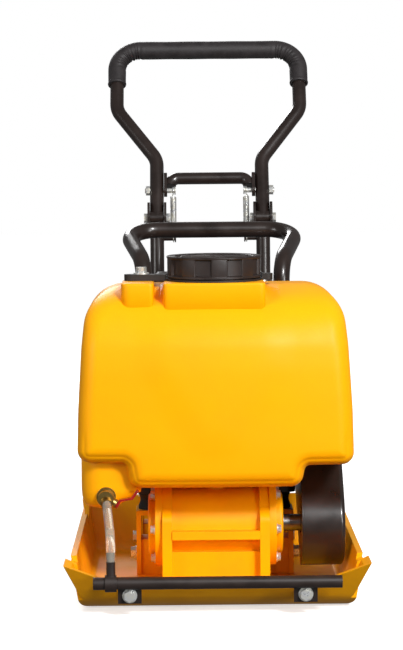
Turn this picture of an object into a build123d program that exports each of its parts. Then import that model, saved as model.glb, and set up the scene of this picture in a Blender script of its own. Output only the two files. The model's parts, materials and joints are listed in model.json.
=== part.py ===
from build123d import *
import math
import os

# Plate compactor. Millimetres, +Z up, front to -Y, belt drive on +X.
# Origin on the ground at the centre of the flat sole.

# --- driving sizes -------------------------------------------------------
plate_width = 418.0
body_width = 403.0
plate_front = -195.0
plate_rear = 172.0
plate_thickness = 8.0
flange_top = 74.0
lip_top = 46.0
rear_top = 86.0
ear_top = 96.0

exciter_y, exciter_z = -85.0, 95.0
housing_radius = 52.0
cavity_radius = 44.0
cover_radius = 60.0
shaft_radius = 15.0
rib_inner, rib_outer = 62.0, 76.0

deck_bottom, deck_top = 130.0, 138.0
deck_half_width = 118.0
deck_front, deck_rear = -30.0, 235.0
mount_x = 90.0
mount_ys = (5.0, 140.0)
bracket_top = 103.0

crank_y, crank_z = 112.0, 245.0
crank_radius = 12.5
cylinder_rise = 40.0
belt_x = 148.0
exciter_pulley_radius = 38.0
drum_radius = 59.0
belt_height = 8.0

tank_half_width = 192.0
tank_front, tank_rear = -225.0, -50.0
tank_top = 441.0
neck_seat = 447.0
tank_wall = 4.0
neck_y = -120.0
neck_radius = 59.5
cap_radius = 66.25
cap_bottom, cap_top = 450.6, 482.0

roll_bar_radius = 12.0
roll_bar_half, roll_bar_y, roll_bar_z = 131.0, 120.0, 508.0
arm_bend_z = 466.0
arm_x, arm_y = 100.0, -12.0

handle_x = 84.0
handle_radius = 11.0
hinge_y, hinge_z = 290.0, 520.0
handle_lean = 31.0
handle_reach = 315.0
handle_flare = 148.5
grip_radius = 15.0
stud_reach = 50.0
anchor_z = 488.0

sprinkler_y, sprinkler_z = -290.0, 49.0
sprinkler_radius = 8.5
sprinkler_half = 168.0
tee_x = -144.0
valve_x, valve_y, valve_z = -152.5, -199.0, 151.0
hose_radius = 6.25

running_gap = 0.35
bore_gap = 0.05

parts = {}


# --- small helpers -------------------------------------------------------
def block(x0, x1, y0, y1, z0, z1):
    """Box between opposite corners."""
    return Pos((x0 + x1) / 2, (y0 + y1) / 2, (z0 + z1) / 2) * Box(
        abs(x1 - x0), abs(y1 - y0), abs(z1 - z0)
    )


def rod(start, end, radius):
    """Cylinder from one point to another."""
    start, end = Vector(*start), Vector(*end)
    return extrude(Plane(origin=start, z_dir=end - start) * Circle(radius), (end - start).length)


def rod_x(x0, x1, y, z, radius):
    return rod((min(x0, x1), y, z), (max(x0, x1), y, z), radius)


def rod_y(x, y0, y1, z, radius):
    return rod((x, min(y0, y1), z), (x, max(y0, y1), z), radius)


def rod_z(x, y, z0, z1, radius):
    return rod((x, y, min(z0, z1)), (x, y, max(z0, z1)), radius)


def hexagon(start, end, across_flats):
    """Hexagonal prism from one point to another."""
    start, end = Vector(*start), Vector(*end)
    outline = RegularPolygon(across_flats / math.sqrt(3), 6)
    return extrude(Plane(origin=start, z_dir=end - start) * outline, (end - start).length)


def outline(corners):
    """Face from (u, v, radius) corners: straight sides joined by tangent arcs."""
    edges = []
    ends = []
    count = len(corners)
    for index in range(count):
        before, here, after = (corners[(index + step) % count] for step in (-1, 0, 1))
        point = Vector(here[0], here[1])
        back = (Vector(before[0], before[1]) - point).normalized()
        ahead = (Vector(after[0], after[1]) - point).normalized()
        radius = here[2]
        if radius == 0:
            ends.append((point, point))
            continue
        half = math.acos(max(-1, min(1, back.dot(ahead)))) / 2
        reach = radius / math.tan(half)
        centre_way = (back + ahead).normalized()
        middle = point + centre_way * (radius / math.sin(half) - radius)
        ends.append((point + back * reach, point + ahead * reach))
        edges.append(ThreePointArc(point + back * reach, middle, point + ahead * reach))
    for index in range(count):
        start, end = ends[index][1], ends[(index + 1) % count][0]
        if (end - start).length > 0.001:
            edges.append(Line(start, end))
    return make_face(Wire(edges))


def slab_x(face, x0, x1):
    """Face drawn in (Y, Z), extruded from x0 to x1."""
    return extrude(Plane.YZ.offset(x0) * face, x1 - x0)


def slab_y(face, y0, y1):
    """Face drawn in (X, Z), extruded from y0 forward to y1, y1 below y0."""
    return extrude(Plane.XZ.offset(-y0) * face, y0 - y1)


def slab_z(face, z0, z1):
    """Face drawn in (X, Y), extruded from z0 to z1."""
    return extrude(Plane.XY.offset(z0) * face, z1 - z0)


def both_sides(shape):
    """The shape and its mirror image in the YZ plane."""
    return [shape, mirror(shape, Plane.YZ)]


def fuse(*shapes):
    """One solid from shapes that touch."""
    result = shapes[0]
    for shape in shapes[1:]:
        result = result + shape
    return result


def bent_tube(points, bend_radius, outer_radius, inner_radius=0.0):
    """Tube swept along straight runs and tangent arcs."""
    path = FilletPolyline(*points, radius=bend_radius) if len(points) > 2 else Line(*points)
    start = Plane(origin=path @ 0, z_dir=path % 0)
    section = Circle(outer_radius)
    if inner_radius:
        section = section - Circle(inner_radius)
    return sweep(start * section, path=path)


def store(name, *solids):
    parts[name] = [solid for shape in solids for solid in shape.solids()]


# --- base plate ----------------------------------------------------------
def tray_face(front, front_radius, front_turn, rear, rear_radius, rear_turn, inset, height):
    """Section of the pan: flat sole, an arc and a sloping wall at each end."""
    points = []
    for flat, radius, turn, side in (
        (rear, rear_radius, rear_turn, 1),
        (front, front_radius, front_turn, -1),
    ):
        angle = math.radians(turn)
        inner = radius - inset
        start = Vector(flat, inset)
        middle = Vector(
            flat + side * inner * math.sin(angle / 2), radius - inner * math.cos(angle / 2)
        )
        end = Vector(flat + side * inner * math.sin(angle), radius - inner * math.cos(angle))
        rise = height - end.Y
        top = Vector(end.X + side * rise / math.tan(angle), height)
        points.append((start, middle, end, top))
    (s1, m1, e1, t1), (s2, m2, e2, t2) = points
    return make_face(
        Wire(
            [
                Line(s2, s1),
                ThreePointArc(s1, m1, e1),
                Line(e1, t1),
                Line(t1, t2),
                Line(t2, e2),
                ThreePointArc(e2, m2, s2),
            ]
        )
    )


body_radius, body_turn = 20.0, 80.0
prow_radius, prow_turn = 45.0, 68.0
prow_rear = plate_front - 40.0
prow_lap = 8.0
side_drop = 0.6
plate_reach = plate_width


def flare(radius, turn):
    """How far a side wall stands out from the flat sole at the top of the flange."""
    angle = math.radians(turn)
    return radius * math.sin(angle) + (flange_top - radius * (1 - math.cos(angle))) / math.tan(angle)


def tray(width, radius, turn, inset):
    height = 130.0
    half = width / 2 - flare(radius, turn)
    along = tray_face(plate_front, 60.0, 50.0, plate_rear, 35.0, 60.0, inset, height)
    across = Pos(0, -side_drop) * tray_face(-half, radius, turn, half, radius, turn, inset, height)
    return slab_x(along, -plate_reach, plate_reach) & slab_y(across, 400.0, -400.0)


def pan(width, radius, turn):
    return tray(width, radius, turn, 0.0) - tray(width, radius, turn, plate_thickness)


body = pan(body_width, body_radius, body_turn)
body = body - block(-plate_reach, plate_reach, -500.0, prow_rear, -10.0, 200.0)
prow = pan(plate_width, prow_radius, prow_turn)
prow = prow - block(-plate_reach, plate_reach, prow_rear + prow_lap, 500.0, -10.0, 200.0)
plate = body + prow
rim_cut = outline(
    [
        (-500.0, flange_top, 0),
        (plate_rear + 14.0, flange_top, 12.0),
        (plate_rear + 26.0, rear_top, 12.0),
        (500.0, rear_top, 0),
        (500.0, 300.0, 0),
        (-500.0, 300.0, 0),
    ]
)
plate = plate - slab_x(rim_cut, -plate_reach, plate_reach)
dip = plate_width / 2 - 60.0
lip_cut = outline(
    [
        (-plate_width / 2 - 8.0, flange_top + 2.0, 0),
        (-dip, lip_top, 60.0),
        (dip, lip_top, 60.0),
        (plate_width / 2 + 8.0, flange_top + 2.0, 0),
        (plate_width / 2 + 8.0, 300.0, 0),
        (-plate_width / 2 - 8.0, 300.0, 0),
    ]
)
plate = plate - slab_y(lip_cut, plate_front - 20.0, -400.0)
ear_face = outline(
    [(112.0, 60.0, 0), (186.0, 60.0, 0), (182.0, ear_top, 6.0), (154.0, ear_top, 14.0)]
)
ear_x = body_width / 2 - 11.0
ears = both_sides(slab_x(ear_face, ear_x, ear_x + 7.0))
lug_x = 108.0
lugs = []
for y in mount_ys:
    lugs += both_sides(block(lug_x - 30.0, lug_x, y - 22.0, y + 22.0, plate_thickness - 1, 60.0))
boss_x = sprinkler_half - 49.0
boss_z = 31.0
bosses = both_sides(rod_y(boss_x, -280.0, -225.0, boss_z, 12.0))
hollow = tray(plate_width, prow_radius, prow_turn, plate_thickness)
plate = fuse(plate, *ears, *lugs, *[boss - hollow for boss in bosses])
lug_bolt_z = 37.0
for y in mount_ys:
    for side in (-1, 1):
        plate = plate - rod_x(side * (lug_x - 22.0), side * (lug_x + 1.0), y, lug_bolt_z, 5.0)
for side in (-1, 1):
    plate = plate - rod_y(side * boss_x, -281.0, -258.0, boss_z, 5.0)
store("base_plate", plate)

# --- exciter -------------------------------------------------------------
rib_face = outline(
    [
        (-150.0, plate_thickness, 0),
        (-8.0, plate_thickness, 0),
        (-30.0, 110.0, 20.0),
        (-52.0, 140.0, 20.0),
        (-118.0, 140.0, 20.0),
        (-150.0, 112.0, 14.0),
    ]
)
rib = slab_x(rib_face, rib_inner, rib_outer) + rod_x(rib_inner, rib_outer, exciter_y, exciter_z, 58.0)
ribs = both_sides(rib)
barrel = rod_x(-rib_inner, rib_inner, exciter_y, exciter_z, housing_radius)
saddle = block(-rib_inner, rib_inner, -134.0, -36.0, plate_thickness, 62.0)
ledge = block(-rib_inner, rib_inner, -152.0, -100.0, exciter_z - 13.0, exciter_z - 1.0)
plug_top = exciter_z + housing_radius
plug_boss = rod_z(0, exciter_y, exciter_z + 40.0, plug_top + 3.0, 14.0)
housing = fuse(barrel, *ribs, saddle, ledge, plug_boss)
housing = housing - rod_x(-rib_inner, rib_inner, exciter_y, exciter_z, cavity_radius)
housing = housing - rod_x(-rib_outer - 1, rib_outer + 1, exciter_y, exciter_z, 36.0)
housing = housing - rod_z(0, exciter_y, exciter_z, plug_top + 4.0, 8.0)
cover_bolt_circle = 52.0
cover_bolt_angles = [60.0 * step for step in range(6)]


def around(angle, radius):
    """Point on a circle about the exciter axis, as (Y, Z)."""
    turn = math.radians(angle)
    return exciter_y + radius * math.cos(turn), exciter_z + radius * math.sin(turn)


for angle in cover_bolt_angles:
    y, z = around(angle, cover_bolt_circle)
    for side in (-1, 1):
        housing = housing - rod_x(side * (rib_outer - 12.0), side * (rib_outer + 1), y, z, 4.0)
store("exciter_housing", housing)

cover = rod_x(rib_outer, rib_outer + 10.0, exciter_y, exciter_z, cover_radius)
cover = cover + rod_x(rib_outer + 10.0, rib_outer + 20.0, exciter_y, exciter_z, 44.0)
cover = fillet(cover.edges().sort_by(Axis.X)[-1], 4.0)
for angle in cover_bolt_angles:
    y, z = around(angle, cover_bolt_circle)
    cover = cover - rod_x(rib_outer - 1, rib_outer + 11.0, y, z, 4.0)
blind = rod_x(rib_outer - 1, rib_outer + 8.0, exciter_y, exciter_z, 30.0)
through = rod_x(rib_outer - 1, rib_outer + 21.0, exciter_y, exciter_z, shaft_radius + 0.5)
store("exciter_cover_right", cover - blind - through)
store("exciter_cover_left", mirror(cover - blind, Plane.YZ))


def flange_bolt(seat, way, radius=4.0, shank=14.0, flange=9.0, head=13.0, height=8.0):
    """Flange-head bolt: shank into the seat, head standing out along way."""
    seat, way = Vector(*seat), Vector(*way)
    washer = rod(seat, seat + way * 2.0, flange)
    cap = hexagon(seat + way * 2.0, seat + way * height, head)
    return fuse(rod(seat - way * shank, seat, radius), washer, cap)


cover_bolts = []
for angle in cover_bolt_angles:
    y, z = around(angle, cover_bolt_circle)
    seat = (rib_outer + 10.0, y, z)
    cover_bolts += both_sides(flange_bolt(seat, (1, 0, 0), 4.0, 20.0, 7.4, 10.0, 6.5))
store("exciter_cover_bolts", *cover_bolts)

bearing = rod_x(rib_inner - 2.0, rib_outer, exciter_y, exciter_z, 36.0)
bearing = bearing - rod_x(0, rib_outer + 1, exciter_y, exciter_z, shaft_radius + bore_gap)
store("exciter_bearings", *both_sides(bearing))

plug_seat = plug_top + 3.0
plug = fuse(
    rod_z(0, exciter_y, plug_seat - 12.0, plug_seat, 8.0 - running_gap),
    rod_z(0, exciter_y, plug_seat, plug_seat + 2.0, 12.0),
    hexagon((0, exciter_y, plug_seat + 2.0), (0, exciter_y, plug_seat + 9.0), 17.0),
)
store("exciter_oil_plug", plug)

shaft = rod_x(-rib_outer - 4.0, 98.0, exciter_y, exciter_z, shaft_radius)
shaft = shaft + rod_x(98.0, 166.0, exciter_y, exciter_z, 12.0)
weight = rod_x(-52.0, 52.0, exciter_y, exciter_z, 40.0)
weight = weight - block(-60.0, 60.0, -200.0, 100.0, exciter_z, 300.0)
store("eccentric_shaft", shaft + weight)


def grooved(radius, half_width, y, z):
    """Pulley blank with a V groove in the belt's plane."""
    deep = radius - 10.0
    face = Polyline(
        (0, belt_x - half_width),
        (radius, belt_x - half_width),
        (radius, belt_x - 6.5),
        (deep, belt_x - 4.0),
        (deep, belt_x + 4.0),
        (radius, belt_x + 6.5),
        (radius, belt_x + half_width),
        (0, belt_x + half_width),
        close=True,
    )
    profile = make_face(face)
    axis_plane = Plane(origin=(0, y, z), x_dir=(0, 1, 0), z_dir=(0, 0, -1))
    return revolve(axis_plane * profile, Axis((0, y, z), (1, 0, 0)))


pulley = grooved(exciter_pulley_radius, 11.0, exciter_y, exciter_z)
pulley = pulley - rod_x(120.0, 180.0, exciter_y, exciter_z, 12.0)
store("exciter_pulley", pulley)


# --- belt and guard ------------------------------------------------------
def belt_loop(small, large):
    """Loop of two tangents and two arcs about both drive axes, in (Y, Z)."""
    first, second = Vector(exciter_y, exciter_z), Vector(crank_y, crank_z)
    along = (second - first).normalized()
    across = Vector(-along.Y, along.X)
    lean = (small - large) / (second - first).length
    rise = math.sqrt(1 - lean * lean)
    up = along * lean + across * rise
    down = along * lean - across * rise
    return Wire(
        [
            Line(first + up * small, second + up * large),
            ThreePointArc(second + up * large, second + along * large, second + down * large),
            Line(second + down * large, first + down * small),
            ThreePointArc(first + down * small, first - along * small, first + up * small),
        ]
    )


belt_back = 0.8
belt_outer = make_face(belt_loop(exciter_pulley_radius - belt_back, drum_radius - belt_back))
belt_front = belt_back + belt_height
belt_inner = make_face(belt_loop(exciter_pulley_radius - belt_front, drum_radius - belt_front))
belt = slab_x(belt_outer, belt_x - 3.9, belt_x + 3.9) - slab_x(belt_inner, belt_x - 10, belt_x + 10)
belt_middle = make_face(belt_loop(exciter_pulley_radius - 4.8, drum_radius - 4.8))
belt = belt + (slab_x(belt_outer, belt_x - 4.9, belt_x + 4.9) - slab_x(belt_middle, belt_x - 10, belt_x + 10))
store("drive_belt", belt)

guard_x0, guard_x1 = belt_x - 26.0, belt_x + 35.0
guard_wall = 2.5
guard_outer = make_face(belt_loop(61.0, 77.0))
guard_inner = make_face(belt_loop(61.0 - guard_wall, 77.0 - guard_wall))
guard = slab_x(guard_outer, guard_x0 + 2.5, guard_x1)
guard = fillet(guard.faces().sort_by(Axis.X)[-1].edges(), 6.5)
guard = guard - slab_x(guard_inner, guard_x0 + 2.0, guard_x1 - 2.5)
guard_posts = [(crank_y - 44.0, crank_z + 30.0), (crank_y + 20.0, crank_z - 50.0)]
store("belt_guard_cover", guard)

back_plate = slab_x(guard_outer, guard_x0, guard_x0 + 2.5)
for y, z in ((exciter_y, exciter_z), (crank_y, crank_z)):
    back_plate = back_plate - rod_x(guard_x0 - 1, guard_x0 + 4.0, y, z, 20.0)
for y, z in guard_posts:
    back_plate = back_plate + rod_x(62.0, guard_x0, y, z, 7.0)
store("belt_guard_plate", back_plate)

# --- mounts and deck -----------------------------------------------------
brackets, bracket_bolts, rubbers = [], [], []
for y in mount_ys:
    upright = block(lug_x, lug_x + 7.0, y - 26.0, y + 26.0, plate_thickness, bracket_top)
    shelf = block(lug_x - 42.0, lug_x + 1.0, y - 26.0, y + 26.0, bracket_top - 7.0, bracket_top)
    bracket = upright + shelf - rod_x(lug_x - 1, lug_x + 8.0, y, lug_bolt_z, 5.0)
    brackets += both_sides(bracket)
    seat = (lug_x + 7.0, y, lug_bolt_z)
    bracket_bolts += both_sides(flange_bolt(seat, (1, 0, 0), 5.0, 26.0, 10.0, 15.0, 9.0))
    waist = revolve(
        Plane.XZ
        * outline(
            [
                (0, bracket_top, 0),
                (22.0, bracket_top, 0),
                (22.0, bracket_top + 5.0, 2.0),
                (18.0, bracket_top + 13.5, 12.0),
                (22.0, deck_bottom - 5.0, 2.0),
                (22.0, deck_bottom, 0),
                (0, deck_bottom, 0),
            ]
        ),
        Axis.Z,
    )
    rubbers += [Pos(side * mount_x, y, 0) * waist for side in (-1, 1)]
store("mount_brackets", *brackets)
store("mount_bracket_bolts", *bracket_bolts)
store("rubber_mounts", *rubbers)

deck = block(-deck_half_width, deck_half_width, deck_front, deck_rear, deck_bottom, deck_top)
deck = fillet(deck.edges().filter_by(Axis.Z), 12.0)
for y in (deck_front, deck_rear - 4.0):
    deck = deck + block(-60.0, 60.0, y, y + 4.0, deck_bottom - 12.0, deck_bottom)
deck_bolt_seats = [(side * arm_x, 18.0, deck_top + 6.0) for side in (-1, 1)]
deck_bolt_seats += [(side * handle_x, 192.0, deck_top + 6.0) for side in (-1, 1)]
deck_bolt_seats += [(side * 54.0, 38.0, deck_top + 6.0) for side in (-1, 1)]
for x, y, z in deck_bolt_seats:
    deck = deck - rod_z(x, y, deck_bottom - 1, deck_top + 1, 4.0)
store("engine_deck", deck)
store("deck_bolts", *[flange_bolt(seat, (0, 0, 1), 4.0, 14.0, 9.0, 13.0, 8.0) for seat in deck_bolt_seats])

# --- engine --------------------------------------------------------------
case = block(-62.0, 62.0, 50.0, 172.0, deck_top + 6.0, 300.0)
case = fillet(case.edges().filter_by(Axis.X), 14.0)
foot = block(-66.0, 66.0, 26.0, 172.0, deck_top, deck_top + 6.0)
for x, y, z in deck_bolt_seats[4:]:
    foot = foot - rod_z(x, y, deck_top - 1, deck_top + 7.0, 4.0)
case = fuse(case, foot, block(-62, 62, 64, 158, deck_top + 5.0, deck_top + 24.0))
case = case - block(-52.0, 52.0, 60.0, 162.0, 168.0, 288.0)
for side in (-1, 1):
    case = case + rod_x(side * 51.0, side * 66.0, crank_y, crank_z, 30.0)
case = case - rod_x(-70.0, 70.0, crank_y, crank_z, crank_radius + bore_gap)
cylinder_plane = Plane(
    origin=(0, crank_y, crank_z),
    x_dir=(1, 0, 0),
    z_dir=(0, -math.cos(math.radians(cylinder_rise)), math.sin(math.radians(cylinder_rise))),
)


def up_cylinder(face, start, end):
    """Face extruded along the cylinder's axis between two distances from the crank."""
    return extrude(cylinder_plane.offset(start) * face, end - start)


bore = up_cylinder(Circle(30.0), 40.0, 120.0)
case = case - bore
plug_x, plug_z = 30.0, 186.0
case = case + rod_y(plug_x, 50.0, 42.0, plug_z, 13.0) - rod_y(plug_x, 70.0, 41.0, plug_z, 8.0)
switch_x, switch_z = -35.0, 215.0
case = case + block(switch_x - 16.0, switch_x + 16.0, 171.0, 182.0, switch_z - 16.0, switch_z + 16.0)
throttle_x, throttle_z = 24.0, 262.0
case = case + rod_y(throttle_x, 171.0, 176.0, throttle_z, 9.0)
store("crankcase", case)

barrel = up_cylinder(Circle(38.0), 84.0, 118.0)
for index in range(4):
    start = 88.0 + 8.0 * index
    barrel = barrel + up_cylinder(RectangleRounded(100.0, 96.0, 10.0), start, start + 2.6)
head = up_cylinder(RectangleRounded(104.0, 96.0, 12.0), 118.0, 124.0)
head = head + up_cylinder(RectangleRounded(84.0, 76.0, 10.0), 124.0, 146.0)
for start in (129.0, 136.5):
    head = head + up_cylinder(RectangleRounded(104.0, 96.0, 12.0), start, start + 2.6)
cylinder = (barrel + head) - up_cylinder(Circle(30.0), 80.0, 130.0) - case
cylinder = max(cylinder.solids(), key=lambda solid: solid.volume)
store("cylinder", cylinder)

rocker = up_cylinder(RectangleRounded(84.0, 72.0, 12.0), 146.0, 166.0)
rocker = fillet(rocker.faces().sort_by(Axis(cylinder_plane.origin, cylinder_plane.z_dir))[-1].edges(), 7.0)
store("rocker_cover", rocker)

spark_at = cylinder_plane.offset(127.0)
spark = fuse(
    rod((41.0, spark_at.origin.Y, spark_at.origin.Z), (74.0, spark_at.origin.Y, spark_at.origin.Z), 5.0),
    rod((54.0, spark_at.origin.Y, spark_at.origin.Z), (80.0, spark_at.origin.Y, spark_at.origin.Z), 9.0),
)
store("spark_plug_cap", spark - cylinder)

shroud_radius = 92.0
shroud = rod_x(-118.0, -62.0, crank_y, crank_z, shroud_radius)
shroud = shroud - rod_x(-119.0, -65.0, crank_y, crank_z, shroud_radius - 3.0)
shroud = shroud - rod_x(-66.0, -61.0, crank_y, crank_z, 36.0)
store("fan_shroud", shroud)

flywheel = rod_x(-106.0, -74.0, crank_y, crank_z, 80.0)
flywheel = flywheel - rod_x(-107.0, -90.0, crank_y, crank_z, 66.0)
for index in range(12):
    fin = block(-106.0, -89.0, crank_y - 1.5, crank_y + 1.5, crank_z + 34.0, crank_z + 67.0)
    flywheel = flywheel + Rotation(0, 0, 0) * fin.rotate(Axis((0, crank_y, crank_z), (1, 0, 0)), 30.0 * index)
flywheel = flywheel - rod_x(-110.0, -70.0, crank_y, crank_z, crank_radius)
store("flywheel", flywheel)

recoil_outer = rod_x(-146.0, -118.0, crank_y, crank_z, shroud_radius)
recoil_outer = fillet(recoil_outer.faces().sort_by(Axis.X)[0].edges(), 16.0)
recoil_inner = rod_x(-143.0, -117.0, crank_y, crank_z, shroud_radius - 3.0)
recoil_inner = fillet(recoil_inner.faces().sort_by(Axis.X)[0].edges(), 13.0)
recoil = recoil_outer - recoil_inner
for index in range(10):
    slot = block(-150.0, -140.0, crank_y - 4.0, crank_y + 4.0, crank_z + 34.0, crank_z + 62.0)
    recoil = recoil - slot.rotate(Axis((0, crank_y, crank_z), (1, 0, 0)), 36.0 * index)
grip_way = Vector(0, math.cos(math.radians(40.0)), math.sin(math.radians(40.0)))
grip_seat = Vector(-132.0, crank_y, crank_z) + grip_way * 95.0
recoil = recoil + rod(grip_seat - grip_way * 5.0, grip_seat + grip_way * 3.0, 9.0)
recoil = recoil - rod(grip_seat - grip_way * 20.0, grip_seat + grip_way * 4.0, 4.0)
store("recoil_cover", recoil)
grip_base = grip_seat + grip_way * 3.0
grip_bar_way = Vector(1, 0, 0)
grip_middle = grip_base + grip_way * 12.0
starter = fuse(
    rod(grip_base - grip_way * 14.0, grip_base, 3.4),
    rod(grip_base, grip_base + grip_way * 12.0, 6.0),
    rod(grip_middle - grip_bar_way * 12.0, grip_middle + grip_bar_way * 12.0, 7.0),
)
store("starter_grip", starter)

crank_main = rod_x(-112.0, -20.0, crank_y, crank_z, crank_radius)
crank_main = fuse(
    crank_main,
    rod_x(20.0, 67.0, crank_y, crank_z, crank_radius),
    rod_x(67.0, 174.0, crank_y, crank_z, 10.0),
    rod_x(-32.0, -18.0, crank_y, crank_z, 40.0),
    rod_x(18.0, 32.0, crank_y, crank_z, 40.0),
    rod_x(-18.0, 18.0, crank_y, crank_z + 24.0, 12.0),
)
store("crankshaft", crank_main)

drum = grooved(drum_radius, 18.0, crank_y, crank_z)
drum = drum - rod_x(belt_x - 12.0, belt_x + 19.0, crank_y, crank_z, 46.0)
drum = drum - rod_x(100.0, 200.0, crank_y, crank_z, 10.0 + bore_gap)
drum = drum + (
    rod_x(belt_x - 30.0, belt_x - 12.0, crank_y, crank_z, 16.0)
    - rod_x(100.0, 200.0, crank_y, crank_z, 10.0 + bore_gap)
)
store("clutch_drum", drum)
hub = rod_x(belt_x - 10.0, belt_x + 15.0, crank_y, crank_z, 18.0)
for index in range(3):
    shoe = rod_x(belt_x - 9.0, belt_x + 14.0, crank_y, crank_z, 45.0)
    shoe = shoe - rod_x(belt_x - 20.0, belt_x + 20.0, crank_y, crank_z, 26.0)
    gap = block(belt_x - 20, belt_x + 20, crank_y - 3.0, crank_y + 3.0, crank_z, crank_z + 60.0)
    for step in range(3):
        shoe = shoe - gap.rotate(Axis((0, crank_y, crank_z), (1, 0, 0)), 120.0 * step)
    arm = block(belt_x - 6, belt_x + 10, crank_y - 6.0, crank_y + 6.0, crank_z - 30.0, crank_z)
    hub = hub + arm.rotate(Axis((0, crank_y, crank_z), (1, 0, 0)), 120.0 * index)
hub = hub + shoe - rod_x(100.0, 200.0, crank_y, crank_z, 10.0)
store("clutch_hub", hub)

fuel = block(-95.0, 95.0, 62.0, 225.0, 345.0, 440.0)
fuel = fillet(fuel.edges(), 24.0)
for x in (-50.0, 50.0):
    for y in (86.0, 150.0):
        fuel = fuel + block(x - 8.0, x + 8.0, y - 8.0, y + 8.0, 300.0, 352.0)
fuel_hollow = fillet(block(-92.5, 92.5, 64.5, 222.5, 352.5, 437.5).edges(), 18.0)
fuel = fuel + rod_z(0, 150.0, 436.0, 454.0, 24.0)
fuel = fuel - fuel_hollow - rod_z(0, 150.0, 430.0, 460.0, 20.0)
store("fuel_tank", fuel)
fuel_cap = rod_z(0, 150.0, 441.0, 462.0, 31.0)
fuel_cap = fillet(fuel_cap.edges().sort_by(Axis.Z)[-1], 4.0)
fuel_cap = fuel_cap - rod_z(0, 150.0, 440.0, 454.0, 24.0 + running_gap)
for index in range(12):
    angle = math.radians(30.0 * index)
    x, y = 32.0 * math.cos(angle), 150.0 + 32.0 * math.sin(angle)
    fuel_cap = fuel_cap - rod_z(x, y, 440.0, 458.0, 4.0)
store("fuel_cap", fuel_cap)

air = fillet(block(-86.0, -6.0, -16.0, 54.0, 390.0, 450.0).edges(), 10.0)
store("air_filter", air)
carburettor = fuse(
    block(-60.0, -26.0, 26.0, 50.0, 350.0, 384.0),
    rod_z(-43.0, 32.0, 384.0, 390.0, 15.0),
    rod_x(-66.0, -60.0, 32.0, 370.0, 6.0),
)
carburettor = carburettor - cylinder
carburettor = max(carburettor.solids(), key=lambda solid: solid.volume)
store("carburettor", carburettor)
muffler = fillet(block(8.0, 86.0, -16.0, 54.0, 390.0, 448.0).edges(), 14.0)
manifold = rod_z(42.0, 34.0, 352.0, 392.0, 12.0) - cylinder
manifold = max(manifold.solids(), key=lambda solid: solid.volume)
muffler = muffler + manifold
for index in range(5):
    z = 402.0 + 8.0 * index
    muffler = muffler + (block(84.0, 88.0, -4.0, 42.0, z, z + 3.0))
store("muffler", muffler)

choke_y, choke_z = 32.0, 370.0
choke = fuse(
    rod_x(-70.0, -66.0, choke_y, choke_z, 7.0),
    block(-69.0, -66.5, choke_y - 4.0, choke_y + 4.0, choke_z - 34.0, choke_z),
    rod_x(-75.0, -66.5, choke_y, choke_z - 34.0, 6.0),
)
store("choke_lever", choke)
throttle = fuse(
    rod_y(throttle_x, 176.0, 180.0, throttle_z, 9.0),
    block(throttle_x - 5.0, throttle_x + 5.0, 176.5, 179.5, throttle_z, throttle_z + 56.0),
    rod_y(throttle_x, 176.5, 190.0, throttle_z + 56.0, 8.0),
)
store("throttle_lever", throttle)
engine_plug = fuse(
    rod_y(plug_x, 42.0, 56.0, plug_z, 8.0 - running_gap),
    rod_y(plug_x, 39.0, 42.0, plug_z, 14.0),
    hexagon((plug_x, 39.0, plug_z), (plug_x, 30.0, plug_z), 17.0),
)
store("engine_oil_plug", engine_plug)
knob = fuse(
    rod_y(switch_x, 182.0, 186.0, switch_z, 12.0),
    block(switch_x - 3.0, switch_x + 3.0, 186.0, 196.0, switch_z - 11.0, switch_z + 11.0),
)
store("engine_switch", knob)

# --- roll bar ------------------------------------------------------------
roll_points = [
    (-arm_x, arm_y, deck_top + 4.0),
    (-arm_x, arm_y, arm_bend_z),
    (-roll_bar_half, roll_bar_y, roll_bar_z),
    (roll_bar_half, roll_bar_y, roll_bar_z),
    (arm_x, arm_y, arm_bend_z),
    (arm_x, arm_y, deck_top + 4.0),
]
roll_path = FilletPolyline(*roll_points, radius=40.0)
roll_bar = sweep(Plane(origin=roll_path @ 0, z_dir=roll_path % 0) * Circle(roll_bar_radius), path=roll_path)
for side in (-1, 1):
    flange = block(side * (arm_x - 14), side * (arm_x + 14), -28.0, 30.0, deck_top, deck_top + 6.0)
    roll_bar = roll_bar + flange - rod_z(side * arm_x, 18.0, deck_top - 1, deck_top + 7.0, 4.0)
store("roll_bar", roll_bar)

carrier = block(-96.0, 96.0, tank_rear, tank_rear + 4.0, 215.0, 400.0)
for side in (-1, 1):
    for z in (225.0, 380.0):
        carrier = carrier + block(side * 96.0, side * 108.0, tank_rear, arm_y - 6.0, z, z + 16.0)
        carrier = carrier + block(side * 80.0, side * 97.0, tank_rear, tank_rear + 4.0, z, z + 16.0)
carrier = carrier - roll_bar
store("tank_carrier", max(carrier.solids(), key=lambda solid: solid.volume))

# --- lower handle --------------------------------------------------------
lower_points = [
    (handle_x, 214.0, deck_top + 4.0),
    (handle_x, 276.0, 380.0),
    (handle_x, hinge_y - 2.5, hinge_z - 13.0),
]
lower_tube = bent_tube(lower_points, 60.0, handle_radius)
shoe = block(handle_x - 17.0, handle_x + 17.0, 182.0, 232.0, deck_top, deck_top + 6.0)
shoe = shoe - rod_z(handle_x, 192.0, deck_top - 1, deck_top + 7.0, 4.0)
lower_side = lower_tube - block(50.0, 120.0, 150.0, 260.0, 100.0, deck_top) + shoe
anchor_pin = rod_x(54.0, handle_x, hinge_y, anchor_z, 4.0)
anchor_pin = anchor_pin + rod_x(54.0, 56.0, hinge_y, anchor_z, 6.5)
lower_side = lower_side + anchor_pin
brace = rod_x(-handle_x, handle_x, 252.0, 286.0, 8.0)
lower = fuse(lower_side, mirror(lower_side, Plane.YZ), brace)
store("lower_handle", lower)

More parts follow.
